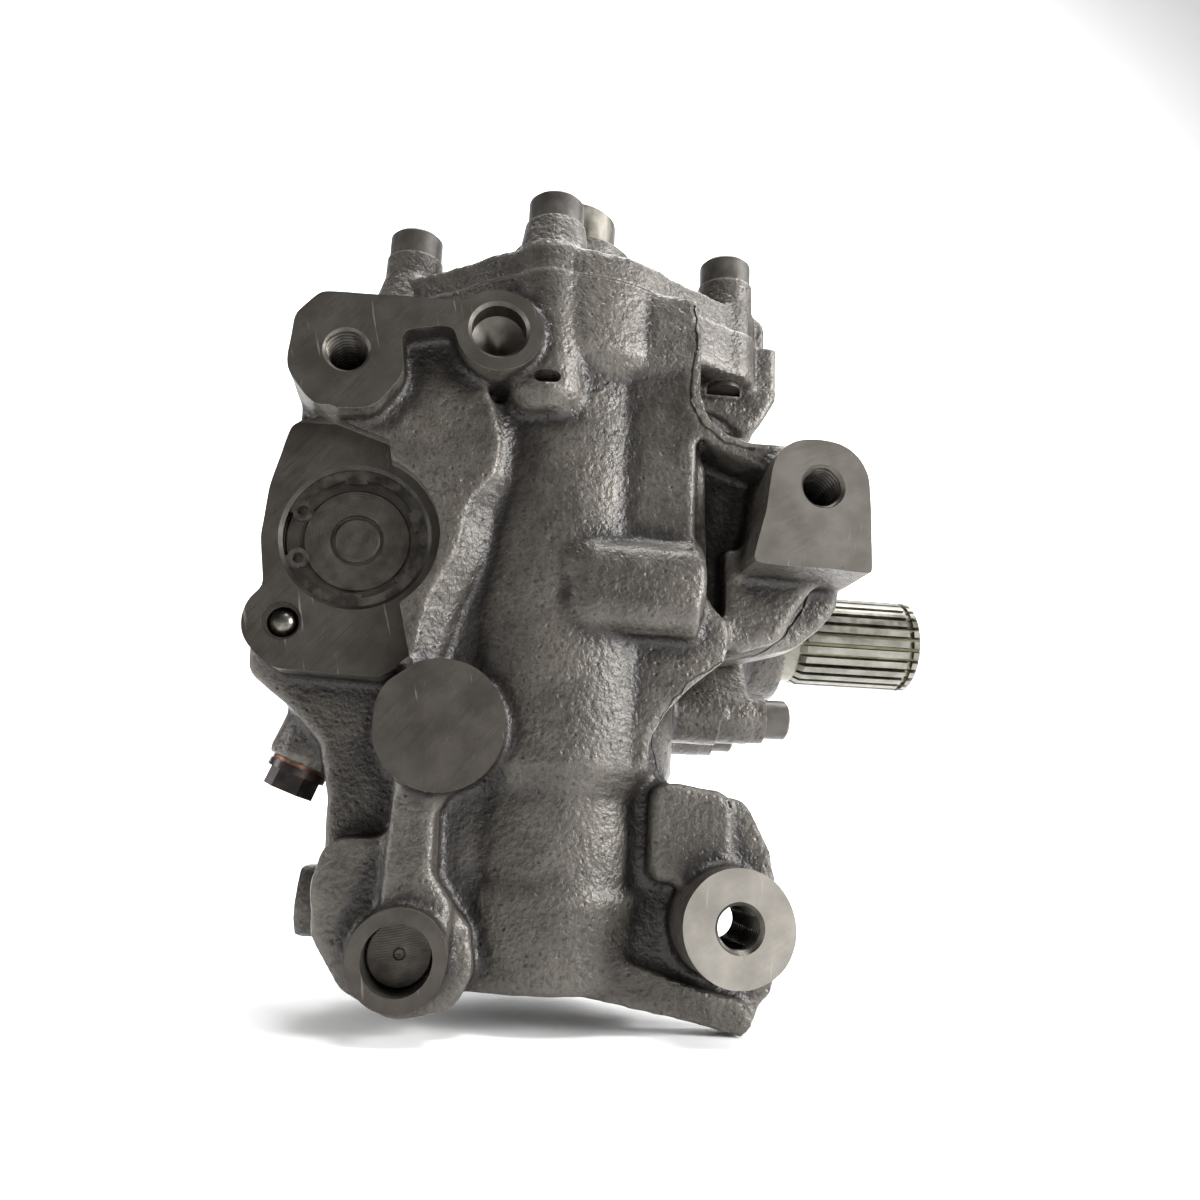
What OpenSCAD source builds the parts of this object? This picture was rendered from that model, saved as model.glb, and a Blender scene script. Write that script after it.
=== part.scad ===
// Power steering gear for a truck: a recirculating-ball worm and rack piston that turn a sector shaft.
// Origin: mouth centre of the lower mounting hole, on the mounting face.
// +X points along the output shaft, +Y away from the mounting face, +Z up the worm to the input.

/* [Mounting face] */
// Sideways place of the right mounting hole
pad_b_x = 33.3; // [30:0.1:37]
// Height of the right mounting hole
pad_b_z = 171.7; // [169:0.1:175]
// Sideways place of the left mounting hole
pad_a_x = -159.2; // [-162:0.1:-156]
// Height of the left mounting hole
pad_a_z = 210.8; // [208:0.1:213]
// Drill diameter under the mounting thread
mount_drill_d = 15.5; // [13:0.1:17]
// Diameter of the chamfer at each thread mouth
mount_mouth_d = 18.8; // [18:0.1:21]
// Depth of the two blind mounting holes
mount_depth = 32; // [24:1:40]
// Diameter of the lower round boss
pad_c_d = 42.6; // [36:0.2:46]
// Length of the lower round boss and its through hole
pad_c_len = 42; // [38:1:46]

/* [Piston barrel] */
// Sideways place of the worm axis
piston_x = -68; // [-70:0.5:-66]
// Distance of the worm axis behind the mounting face
piston_y = 67; // [65:0.5:70]
// Bore of the piston barrel
piston_d = 84; // [80:0.5:86]
// Wall of the barrel
barrel_wall = 12; // [9:0.5:14]
// Radial running clearance of the piston
piston_clear = 0.04; // [0.02:0.01:0.1]
// Lowest face of the barrel
base_z = -28; // [-32:1:-22]
// Height of the joint between housing and valve housing
joint_z = 258; // [256:0.5:262]
// Lower end of the piston
piston_z0 = 24; // [20:1:40]
// Upper end of the piston
piston_z1 = 190; // [186:0.5:191]
// Free space past each end of the piston stroke
stroke_spare = 2.5; // [1.5:0.5:4]

/* [Steering geometry] */
// Distance from the worm axis to the sector shaft axis
centre_distance = 59; // [58:0.1:60]
// Height of the sector shaft axis
sector_z = 132; // [130:0.5:134]
// Module of the rack and sector teeth
tooth_module = 6.4; // [6.2:0.05:6.6]
// Teeth that a full circle would have
full_teeth = 10; // [9:1:11]
// Teeth on the sector
sector_teeth = 5; // [3:2:5]
// Pressure angle of the teeth
pressure_angle = 25; // [23:0.5:27]
// Width of the sector teeth along the shaft
sector_width = 44; // [38:1:46]
// Play between the teeth, measured along the rack
backlash = 0.3; // [0.1:0.05:0.6]
// Turning angle of the sector shaft to each side
steer_angle = 42; // [30:1:44]

/* [Worm and balls] */
// Lead of the ball track
worm_lead = 12; // [11:0.5:13]
// Radius of the circle on which the balls run
ball_circle_r = 13; // [12.5:0.1:13.4]
// Diameter of the recirculating balls
ball_d = 7; // [6.5:0.1:7.2]
// Gap between a ball and its track
track_gap = 0.22; // [0.15:0.01:0.3]
// Lower end of the worm
worm_z0 = 112; // [108:1:116]
// Turns of track that carry balls
ball_turns = 3; // [2:0.5:3]

/* [Sector shaft] */
// Diameter of the output journal
journal_d = 48; // [46:0.5:50]
// Diameter of the journal at the closed end
rear_journal_d = 40; // [36:0.5:42]
// Outer diameter of the output spline
spline_d = 46.5; // [42:0.1:48]
// Depth of the spline grooves
spline_depth = 2.3; // [1.8:0.1:3]
// Number of spline grooves
spline_count = 26; // [20:1:36]
// Free end of the output shaft
shaft_end_x = 124; // [114:1:134]
// Start of the spline
spline_x0 = 60; // [57:0.5:66]
// Radial running clearance of the shafts
shaft_clear = 0.05; // [0.02:0.01:0.1]

/* [Side cover] */
// Joint plane between housing and side cover
side_x = 9; // [8:0.5:11]
// Thickness of the side cover flange
side_flange = 15; // [12:0.5:18]
// Height of the screw bosses above the flange
side_boss = 7; // [4:0.5:9]
// Radius of the side cover screw circle
side_bolt_r = 67; // [65:0.5:69]
// Diameter of the side cover screws
side_bolt_d = 12; // [10:0.5:12]
// Outer diameter of the seal boss
seal_boss_d = 66; // [64:0.5:70]
// Outer end of the seal boss
seal_boss_x = 50; // [48:0.5:52]

/* [Valve housing] */
// Thickness of the round flange
valve_flange = 12; // [10:0.5:14]
// Diameter of the round flange
valve_flange_d = 123; // [118:1:126]
// Height of the screw seats above the joint
valve_seat_h = 27.5; // [25:0.5:30]
// Diameter of the valve housing screws
valve_bolt_d = 16; // [14:0.5:16]
// Sideways place of the two outer screws from the worm axis
outer_bolt_x = 73.5; // [72:0.5:76]
// Height of the dome above the joint
dome_h = 38.5; // [38:0.5:40]
// Diameter of the dome round the input
dome_d = 60; // [58:1:64]
// Bore for the valve sleeve
valve_bore_d = 42; // [41:0.5:43]

/* [Input shaft] */
// Diameter of the input hub
hub_d = 41.5; // [38:0.5:44]
// Height of the input hub
hub_h = 22; // [18:0.5:26]
// Tip diameter of the serrations in the hub
socket_d = 19.6; // [17:0.2:22]
// Depth of the serrated socket
socket_depth = 16; // [12:0.5:18]
// Number of serrations
socket_teeth = 36; // [24:1:40]

/* [Left bore cap] */
// Sideways place of the cap bore
cap_x = -151.5; // [-153:0.5:-150]
// Height of the cap bore
cap_z = 141.5; // [139:0.5:144]
// Distance of the cap plate behind the mounting face
cap_plate_y = 20; // [18:0.5:22]
// Diameter of the cap bore
cap_bore_d = 56; // [52:0.5:57]

/* [Front bosses] */
// Diameter of the flat round boss on the barrel
disc_d = 48.6; // [44:0.2:52]
// Outer diameter of the two ring bosses
ring_d = 35; // [33:0.5:37]
// Bore of the upper ring boss
upper_ring_bore = 22; // [20:0.2:24]
// Bore of the lower ring boss
lower_ring_bore = 24.6; // [22:0.2:26]
// Depth of the disc in the lower ring boss
core_plug_y = 17; // [14:0.5:20]
// Diameter of the ball that plugs the drilling
plug_ball_d = 12; // [11:0.1:12.4]

/* [Hidden] */
$fn = 64;

iron = [0.27, 0.255, 0.24];
steel = [0.62, 0.61, 0.58];
dark_steel = [0.33, 0.32, 0.31];
bronze = [0.55, 0.45, 0.28];
black = [0.08, 0.08, 0.08];
polymer = [0.5, 0.32, 0.2];

// Overshoot of a cut past the face it opens
eps = 0.5;
// Gap between parts that are pressed or screwed together
seat = 0.02;

pitch_r = tooth_module * full_teeth / 2;
sector_y = piston_y + centre_distance;
rack_y = piston_y + centre_distance - pitch_r;
tooth_pitch = PI * tooth_module;
addendum = 0.8 * tooth_module;
dedendum = 1.05 * tooth_module;
tip_r = pitch_r + addendum;
root_r = pitch_r - dedendum;
stroke = pitch_r * steer_angle * PI / 180;
bore_z0 = piston_z0 - stroke - stroke_spare;
bore_z1 = piston_z1 + stroke + stroke_spare;
piston_r = piston_d / 2;
barrel_r = piston_r + barrel_wall;
low_r = barrel_r - 4.5;

// Worm bearing and valve, stacked from the top of the piston bore
bearing_z0 = bore_z1 + 6;
bearing_h = 14;
bearing_z1 = bearing_z0 + bearing_h;
bearing_r = 26;
bearing_ball_d = 7;
worm_journal_r = 12;
worm_r = ball_circle_r - 0.6;
worm_head_r = 13;
collar_z1 = bearing_z1 + 4;
valve_bore_r = valve_bore_d / 2;
sleeve_r = valve_bore_r - shaft_clear;
spool_r = 12;
dome_z = joint_z + dome_h;
seal_h = 4.6;
input_bearing_h = 6;
sleeve_z1 = dome_z - seal_h - input_bearing_h - 0.3;
sleeve_ring_z = [for (i = [0:3]) collar_z1 + 7 + i * 10];
tang_z0 = sleeve_z1 - 36.5;
tang_z1 = tang_z0 + 8;
input_neck_r = 11;
hub_z0 = dome_z + 1.5;
hub_z1 = hub_z0 + hub_h;
bar_r = 4;
bar_core_r = 2.6;

// Screws of the valve housing
seat_z = joint_z + valve_seat_h;
inner_bolt_dx = -11.5;
inner_bolt_dy = -47;
left_bolt = [piston_x - outer_bolt_x, piston_y - 7];
right_bolt = [piston_x + outer_bolt_x - 0.5, piston_y - 14];
front_bolt = [piston_x + inner_bolt_dx, piston_y + inner_bolt_dy];
back_bolt = [piston_x - inner_bolt_dx, piston_y - inner_bolt_dy];
valve_bolts = [left_bolt, right_bolt, front_bolt, back_bolt];
valve_bolt_depth = 24;
valve_head_h = 13;
ear_r = 14;

// Plan of the joint: a disc with a web to each outer screw
function web_points(p, r0, r1) =
    let (c = [piston_x, piston_y],
         a = atan2(p[1] - c[1], p[0] - c[0]),
         half = acos((r0 - r1) / norm(p - c)))
    [c + r0 * [cos(a - half), sin(a - half)], p + r1 * [cos(a - half), sin(a - half)],
     p + r1 * [cos(a + half), sin(a + half)], c + r0 * [cos(a + half), sin(a + half)]];
module joint_plan(disc_r, lug_r) {
    translate([piston_x, piston_y]) circle(r = disc_r);
    for (p = [left_bolt, right_bolt]) {
        translate(p) circle(r = lug_r);
        polygon(web_points(p, disc_r * 0.97, lug_r * 0.9));
    }
}

// Hose ports behind the valve housing
port_xs = [piston_x - 27, piston_x + 37];
port_z = joint_z + 24;
port_face_y = piston_y + 46;
port_boss_r = 12.5;
port_drill_d = 16.4;

// Sector shaft stations along X
chamber_r = tip_r + 3;
chamber_x0 = piston_x - sector_width / 2 - 4;
journal_r = journal_d / 2;
rear_r = rear_journal_d / 2;
rear_seat_r = rear_r + 6;
rear_x0 = chamber_x0 - 30;
shaft_x0 = rear_x0 + 2;
end_wall = 10;
cover_pilot_r = chamber_r - 0.05;
pilot_x0 = side_x - 7;
boss_x = side_x + side_flange + side_boss;
front_seat_r = journal_r + 5.5;
seal_seat_r = journal_r + 6;
front_bearing_x1 = side_x + 25;
seal_seat_x = front_bearing_x1 + 4;
side_bolts = [for (a = [45:90:315]) side_bolt_r * [cos(a), sin(a)]];
side_lobe_r = 13;
side_bolt_reach = 20;
adjuster_r = 6;
adjuster_head_r = 9;

// Front bosses
disc_x = -113;
disc_z = 68;
upper_ring_x = -101;
upper_ring_z = 226;
lower_ring_x = -121.5;
lower_ring_z = -13.5;
ball_plug_x = -176;
ball_plug_z = 106;
plug_ball_in = 6.5;
ball_hole_y = cap_plate_y + plug_ball_in + plug_ball_d / 2 + 0.5;
hex_plug_at = [-170, 58, 52];
hex_plug_tilt = 20.5;

// A bar with its ends at two stations on the X, Y or Z axis, and a profile carried along X or Y
module rod_x(x0, x1, r, y = 0, z = 0) {
    translate([x0, y, z]) rotate([0, 90, 0]) cylinder(h = x1 - x0, r = r);
}
module rod_y(y0, y1, r, x = 0, z = 0) {
    translate([x, y1, z]) rotate([90, 0, 0]) cylinder(h = y1 - y0, r = r);
}
module rod_z(z0, z1, r, x = 0, y = 0) {
    translate([x, y, z0]) cylinder(h = z1 - z0, r = r);
}
module along_x(x0, x1) {
    translate([x0, 0, 0]) rotate([90, 0, 90]) linear_extrude(x1 - x0) children();
}
module along_y(y0, y1) {
    translate([0, y1, 0]) rotate([90, 0, 0]) linear_extrude(y1 - y0) children();
}
// A flat ring that stands on the plane of height 0
module ring(outer, inner, h) {
    difference() {
        cylinder(h = h, r = outer);
        translate([0, 0, -eps]) cylinder(h = h + 2 * eps, r = inner);
    }
}
// A turned body on the worm axis, from its half section [radius, height]
module on_worm() {
    translate([piston_x, piston_y, 0]) children();
}
// A turned body on the sector axis: its Z axis is laid along +X
module on_sector() {
    translate([0, sector_y, sector_z]) rotate([0, 90, 0]) children();
}

// Closed outline with rounded corners, from points [u, v, radius]
function turn(a, b) = b - a > 180 ? b - a - 360 : b - a < -180 ? b - a + 360 : b - a;
function flat_point(p) = [p[0], p[1]];
function arc_points(c, r, a0, sweep, n) =
    [for (i = [0:n]) c + r * [cos(a0 + sweep * i / n), sin(a0 + sweep * i / n)]];
function corner(p, q, s, r) =
    r == 0 ? [q] :
    let (a = (p - q) / norm(p - q),
         b = (s - q) / norm(s - q),
         half = acos(a * b) / 2,
         reach = min(r / tan(half), 0.48 * norm(p - q), 0.48 * norm(s - q)),
         rr = reach * tan(half),
         c = q + (a + b) / norm(a + b) * rr / sin(half),
         from = q + a * reach - c,
         to = q + b * reach - c,
         a0 = atan2(from[1], from[0]),
         a1 = atan2(to[1], to[0]))
    arc_points(c, rr, a0, turn(a0, a1), 5);
function outline(v) =
    let (n = len(v))
    [for (i = [0:n - 1])
        each corner(flat_point(v[(i + n - 1) % n]), flat_point(v[i]), flat_point(v[(i + 1) % n]), v[i][2])];

// The same outline moved inwards by d, for an outline that runs counterclockwise
// Cast body along Y from its outline
module cast_body(y0, y1, v) {
    translate([0, y1, 0]) rotate([90, 0, 0]) linear_extrude(y1 - y0) polygon(v);
}

// Half section of a blind thread hole with its mouth chamfer, mouth at height 0 and the hole below
module thread_drill(d, mouth, depth) {
    chamfer = (mouth - d) / 2;
    rotate_extrude()
        polygon([[0, eps], [mouth / 2, eps], [mouth / 2, 0], [d / 2, -chamfer],
                 [d / 2, -depth], [0, -depth - d * 0.3]]);
}
module mount_hole(x, z, depth) {
    translate([x, 0, z]) rotate([90, 0, 0]) thread_drill(mount_drill_d, mount_mouth_d, depth);
}

// Outline of the right mounting pad
module pad_b_face() {
    top_r = 20;
    polygon(outline([[pad_b_x - 29.5, pad_b_z - 34, 1], [pad_b_x + 20, pad_b_z - 35, 1],
                     [pad_b_x + top_r, pad_b_z + top_r, top_r], [pad_b_x - 19, pad_b_z + top_r, 17],
                     [pad_b_x - 24, pad_b_z - 12, 6]]));
}
// Outline of the left mounting pad, with its land out to the upper ring boss
module pad_a_face() {
    polygon(outline([[pad_a_x - 21, pad_a_z + 13, 3], [pad_a_x - 12, pad_a_z + 24, 3],
                     [upper_ring_x, upper_ring_z + 11.5, 0], [upper_ring_x, upper_ring_z - 1, 0],
                     [pad_a_x + 35, pad_a_z + 14.5, 2], [pad_a_x + 20, pad_a_z + 11, 3],
                     [pad_a_x + 22.5, pad_a_z - 8, 10],
                     [pad_a_x + 12, pad_a_z - 23, 10], [pad_a_x - 10, pad_a_z - 25, 12],
                     [pad_a_x - 22, pad_a_z - 10, 12]]));
}
// Outline of the flat plate round the cap bore
module cap_plate_face() {
    polygon(outline([[cap_x + 25, cap_z - 47, 0], [cap_x + 22, cap_z - 36, 4], [cap_x + 18, cap_z - 20, 0],
                     [cap_x + 14, cap_z + 20, 0], [cap_x + 10, cap_z + 39, 5], [cap_x - 12, cap_z + 46, 4],
                     [cap_x - 29, cap_z + 45, 3], [cap_x - 35, cap_z + 17, 10], [cap_x - 36, cap_z - 2, 10],
                     [cap_x - 33, cap_z - 21, 5], [cap_x - 34, cap_z - 48, 4], [cap_x - 25, cap_z - 54, 5],
                     [cap_x + 14, cap_z - 55, 0]]));
    translate([cap_x, cap_z]) circle(r = cap_bore_d / 2 + 5);
    translate([ball_plug_x, ball_plug_z]) circle(r = 15.2);
}
// Outline of the wall that rises between that plate and the barrel
function cheek_face() =
    outline([[cap_x + 2, cap_z - 50, 0], [cap_x + 26, cap_z - 50, 0], [cap_x + 30.5, cap_z - 24, 12],
             [cap_x + 39.5, cap_z - 6, 12], [cap_x + 43, cap_z + 15, 12], [cap_x + 53.5, cap_z + 29, 12],
             [cap_x + 54, cap_z + 44, 12], [cap_x + 50, cap_z + 58, 12], [cap_x + 41, cap_z + 84, 12],
             [cap_x + 34, cap_z + 96, 0], [cap_x - 8, cap_z + 92, 0], [cap_x - 8, cap_z, 0]]);
// Outline of the barrel's right shoulder, down to the scoop beside the lower lug
function shoulder_face() =
    outline([[-50, 50, 0], [-32, 56, 6], [-31, 68, 6], [-25, 79, 8], [-15, 90, 8], [0, 102, 6], [0, 117, 6],
             [-9, 128, 8], [-10, 182, 8], [-15, 197, 8], [-21, 214, 8], [-24, 228, 0], [-50, 228, 0]]);
// Outline of the curved rib from the upper ring to the right pad
function rib_face() =
    outline([[-21, 244, 0], [-22, 214, 10], [-20, 203, 12], [-10.5, 192, 12], [3, 186.5, 12], [14, 183, 0],
             [26, 183, 0], [26, 195, 0], [8, 194.5, 10], [-3, 197, 12], [-11, 204, 12], [-14.2, 214, 12],
             [-14, 244, 0]]);
// Outline of the arm behind the right pad, and of the block in front of it
function arm_face() =
    outline([[-45, 98, 0], [3, 104, 0], [18, 107, 6], [36, 112, 8], [46, 121, 8], [pad_b_x + 21, 131, 8],
             [pad_b_x + 22, 178, 8], [pad_b_x + 16, 188, 8], [25, 194, 8], [-4, 196, 14], [-12, 205, 12],
             [-14, 232, 0], [-45, 232, 0]]);
function arm_block_face() =
    outline([[0, 104, 6], [24, 112, 6], [31, 126, 8], [pad_b_x + 8, 139, 0], [pad_b_x + 8, 150, 0],
        [0, 150, 0]]);
// Outlines of the lower lug: its plate, the block above the boss and the rib below it
function lug_face() =
    outline([[-60, base_z, 0], [-38, -31.5, 0], [-14, -36.5, 0], [3, -40, 0], [9, -42, 4], [14, -38, 4],
             [17, -31, 0], [22, -27, 5], [pad_c_d / 2 + 2, -16, 8], [pad_c_d / 2 + 2, 14, 10], [21, 27, 10],
             [15, 39, 8], [10, 46.5, 5], [-20, 50, 8], [-31, 57, 0], [-60, 60, 0]]);
function lug_block_face() =
    outline([[-30, 14, 6], [3, 14, 6], [2.5, 46, 0], [-3, 49.5, 0], [-21, 52, 6], [-30, 49, 6]]);
function lug_rib_face() =
    outline([[-56, -28, 0], [-38, -31.5, 0], [-14, -36.5, 0], [8, -41.5, 0], [13, -37, 0], [9, -29, 0],
             [-6, -25.5, 0], [-37, -16, 0], [-56, -6, 0]]);
// Outlines of the lower left block, the web up to the flat disc and the body over the hexagon plug
function left_block_face() =
    outline([[-153, -8, 10], [-141, -26, 10], [-122, -36, 10], [-101, -32, 10], [-94.5, -20, 12],
             [-97, -3, 10], [-110, 10, 8], [-111, 36, 8], [-113, 56, 0], [-126, 56, 0], [-128, 27, 8],
             [-151, 26, 8], [-155, 10, 8]]);
function disc_web_face() =
    outline([[-130, -8, 0], [-104, -8, 0], [-104, 5, 6], [-112, 16, 8], [-112, 36, 6], [-103, 52, 0],
        [-127, 62, 0]]);
function plug_body_face() =
    outline([[-154, 18, 0], [-126, 18, 0], [-126, 98, 0], [-191, 98, 0], [-190, 88, 7], [-173, 75, 7],
             [-160, 62, 7], [-155, 40, 7]]);
// Outline of the lug behind the right screw
function screw_lug_face() =
    outline([[-30, joint_z - 30, 0], [2, joint_z - 36, 8], [13, joint_z - 44, 8], [22, joint_z - 41, 8],
             [31, joint_z - 25, 7], [31, joint_z, 0], [-30, joint_z, 0]]);
// Face of the side joint: a disc with four lobes
module side_face(disc_r, lobe_r) {
    circle(r = disc_r);
    for (p = side_bolts) {
        translate(p) circle(r = lobe_r);
        rotate(atan2(p[1], p[0]))
            polygon([[0, -2 * lobe_r], [norm(p), -0.95 * lobe_r], [norm(p), 0.95 * lobe_r],
                [0, 2 * lobe_r]]);
    }
}
module on_side(x0, x1) {
    along_x(x0, x1) translate([sector_y, sector_z]) children();
}

// Cast bodies of the housing, before any machining
module housing_castings() {
    // barrel: a deep ring under the valve housing, and a waisted lower end
    on_worm() rotate_extrude()
        polygon([[0, base_z], [low_r - 1, base_z], [low_r + 1, base_z + 3], [low_r + 1.5, 7], [low_r, 10],
                 [low_r, 45], [barrel_r, 56], [barrel_r, joint_z - 43],
                 [valve_flange_d / 2 - 0.5, joint_z - 31],
                 [valve_flange_d / 2 - 0.5, joint_z], [0, joint_z]]);
    // screw columns, the lug behind the right one and the round boss below it
    for (p = [front_bolt, back_bolt]) {
        rod_z(joint_z - 53, joint_z, 16.5, p[0], p[1]);
        translate([p[0], p[1], joint_z - 60]) cylinder(h = 7, r1 = 12, r2 = 16.5);
    }
    translate([0, 0, joint_z - valve_bolt_depth + 2]) linear_extrude(valve_bolt_depth - 2)
        joint_plan(valve_flange_d / 2 - 0.5, ear_r);
    rod_z(joint_z - 40, joint_z, ear_r, left_bolt[0], left_bolt[1]);
    cast_body(right_bolt[1], right_bolt[1] + 38, screw_lug_face());
    rod_z(joint_z - 44.5, joint_z - 36, 6, right_bolt[0] + 10, right_bolt[1] + 10);
    // left pad with its land, the deep body behind it, the milled plate and the wall beside that
    along_y(0, 30) pad_a_face();
    cast_body(cap_plate_y + 2, 84, outline([[-178, 180, 0], [-118, 180, 0], [-118, 240, 0], [-150, 240, 7],
                                               [-178, 233, 9]]));
    difference() {
        cast_body(cap_plate_y - 7, 84, cheek_face());
        along_y(-eps, cap_plate_y) cap_plate_face();
    }
    along_y(cap_plate_y, 92) cap_plate_face();
    // floor of the valley between the barrel and the left side
    cast_body(25, 80, outline([[-128, base_z + 8, 0], [-84, base_z + 8, 0], [-84, 208, 0], [-96, 212, 0],
                                  [-118, 224, 0], [-128, 224, 0]]));
    // ring bosses and the flat disc boss
    rod_y(0, 40, ring_d / 2, upper_ring_x, upper_ring_z);
    rod_y(0, 40, ring_d / 2, lower_ring_x, lower_ring_z);
    intersection() {
        rod_y(0, 44, disc_d / 2, disc_x, disc_z);
        along_y(-1, 45)
            polygon([[disc_x + 30, disc_z - 30], [disc_x + 30, disc_z + 30], [disc_x - 4, disc_z + 30],
                     [disc_x - 7, disc_z + 24.5], [disc_x - 23.5, disc_z + 11.5],
                     [disc_x - 23.8, disc_z - 30]]);
    }
    cast_body(8, 50, disc_web_face());
    // oil gallery across the front, its closed end to the left
    translate([0, 26.5, sector_z + 0.5]) rotate([0, 90, 0]) rotate_extrude()
        polygon([[0, piston_x - 4], [11, piston_x - 3.5], [14.5, piston_x - 1], [16, piston_x + 4],
                 [18.6, -15], [17, -11.5], [0, -11.5]]);
    // lower left block, its side boss and the body over the hexagon plug
    cast_body(14, 92, left_block_face());
    rod_x(-164, -140, 14, 55, 1);
    cast_body(38, 84, plug_body_face());
    // lower lug: plate, block, rib and the round boss
    cast_body(30, pad_c_len, lug_face());
    cast_body(19, pad_c_len, lug_block_face());
    cast_body(24, pad_c_len, lug_rib_face());
    rod_y(0, pad_c_len, pad_c_d / 2);
    // right shoulder with its scoop, the arm, its rib, its block and the right pad
    cast_body(22, 62, shoulder_face());
    cast_body(38, 62, arm_face());
    cast_body(15, 62, rib_face());
    cast_body(25, 62, arm_block_face());
    along_y(0, 40) pad_b_face();
    // sector chamber, its closed end and the joint of the side cover
    on_side(chamber_x0 - 4, side_x) circle(r = chamber_r + 7);
    on_side(rear_x0 - end_wall, chamber_x0 - 2) circle(r = rear_seat_r + 7);
    on_side(side_x - 22, side_x) side_face(chamber_r + 12, side_lobe_r);
    on_side(rear_x0 - end_wall - 2, rear_x0 - end_wall) circle(r = 15);
    // boss of the hex plug
    translate(hex_plug_at) rotate([0, hex_plug_tilt, 0]) translate([0, 0, 2]) cylinder(h = 40, r = 14);
}

// Every hole and bore that is machined in the housing
module housing_machining() {
    // piston bore, worm passage, bearing and valve spigot seat
    rod_z(bore_z0, bore_z1, piston_r, piston_x, piston_y);
    rod_z(bore_z1 - eps, bearing_z0 + eps, 18, piston_x, piston_y);
    rod_z(bearing_z0, joint_z + eps, bearing_r, piston_x, piston_y);
    // sector chamber and rear bearing seat
    on_side(chamber_x0, side_x + eps) circle(r = chamber_r);
    on_side(rear_x0, chamber_x0 + eps) circle(r = rear_seat_r);
    on_side(rear_x0 - end_wall - 2 - eps, rear_x0 + eps) circle(r = adjuster_r);
    // screw holes
    for (p = valve_bolts) rod_z(joint_z - valve_bolt_depth - 2, joint_z + eps, valve_bolt_d / 2, p[0],
        p[1]);
    for (p = side_bolts)
        rod_x(side_x - side_bolt_reach - 2, side_x + eps, side_bolt_d / 2, sector_y + p[0],
            sector_z + p[1]);
    // mounting holes
    mount_hole(pad_a_x, pad_a_z, mount_depth);
    mount_hole(pad_b_x, pad_b_z, mount_depth);
    mount_hole(0, 0, pad_c_len + 10);
    translate([0, pad_c_len, 0]) rotate([-90, 0, 0]) thread_drill(mount_drill_d, mount_mouth_d,
        pad_c_len / 2);
    // cast pocket at the foot of the front screw column
    along_y(0, 20) polygon(outline([[-86, 207.4, 2.6], [-75, 207.4, 2.6], [-75, 212.8, 2.6],
        [-86, 212.8, 2.6]]));
    // upper ring: blind bore with a drill point, lower ring: plain bore behind the core plug
    translate([upper_ring_x, 0, upper_ring_z]) rotate([90, 0, 0])
        thread_drill(upper_ring_bore, upper_ring_bore + 2.8, 10);
    rod_y(-eps, core_plug_y + 6, lower_ring_bore / 2, lower_ring_x, lower_ring_z);
    // cap bore with its mouth chamfer, ring groove and inner pocket
    translate([cap_x, cap_plate_y, cap_z]) rotate([90, 0, 0]) rotate_extrude()
        polygon([[0, eps], [cap_bore_d / 2 + 1.5, eps], [cap_bore_d / 2 + 1.5, 0], [cap_bore_d / 2, -1.5],
                 [cap_bore_d / 2, -2.4], [cap_bore_d / 2 + 1.5, -2.4], [cap_bore_d / 2 + 1.5, -4.6],
                 [cap_bore_d / 2, -4.6], [cap_bore_d / 2, -22], [cap_bore_d / 2 - 3, -22],
                 [cap_bore_d / 2 - 3, -48], [0, -48]]);
    // ball hole and the drilling that it closes
    rod_y(cap_plate_y - eps, cap_plate_y + 3, plug_ball_d / 2 + 1.45, ball_plug_x, ball_plug_z);
    rod_y(cap_plate_y, ball_hole_y, plug_ball_d / 2 + seat, ball_plug_x, ball_plug_z);
    rod_y(cap_plate_y, cap_plate_y + 40, 4, ball_plug_x, ball_plug_z);
    // hole of the hex plug
    translate(hex_plug_at) rotate([0, hex_plug_tilt, 0]) cylinder(h = 24, r = 7);
}

// Main casting of the gear, in grey iron
module gear_housing() {
    color(iron) difference() {
        housing_castings();
        housing_machining();
    }
}

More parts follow.
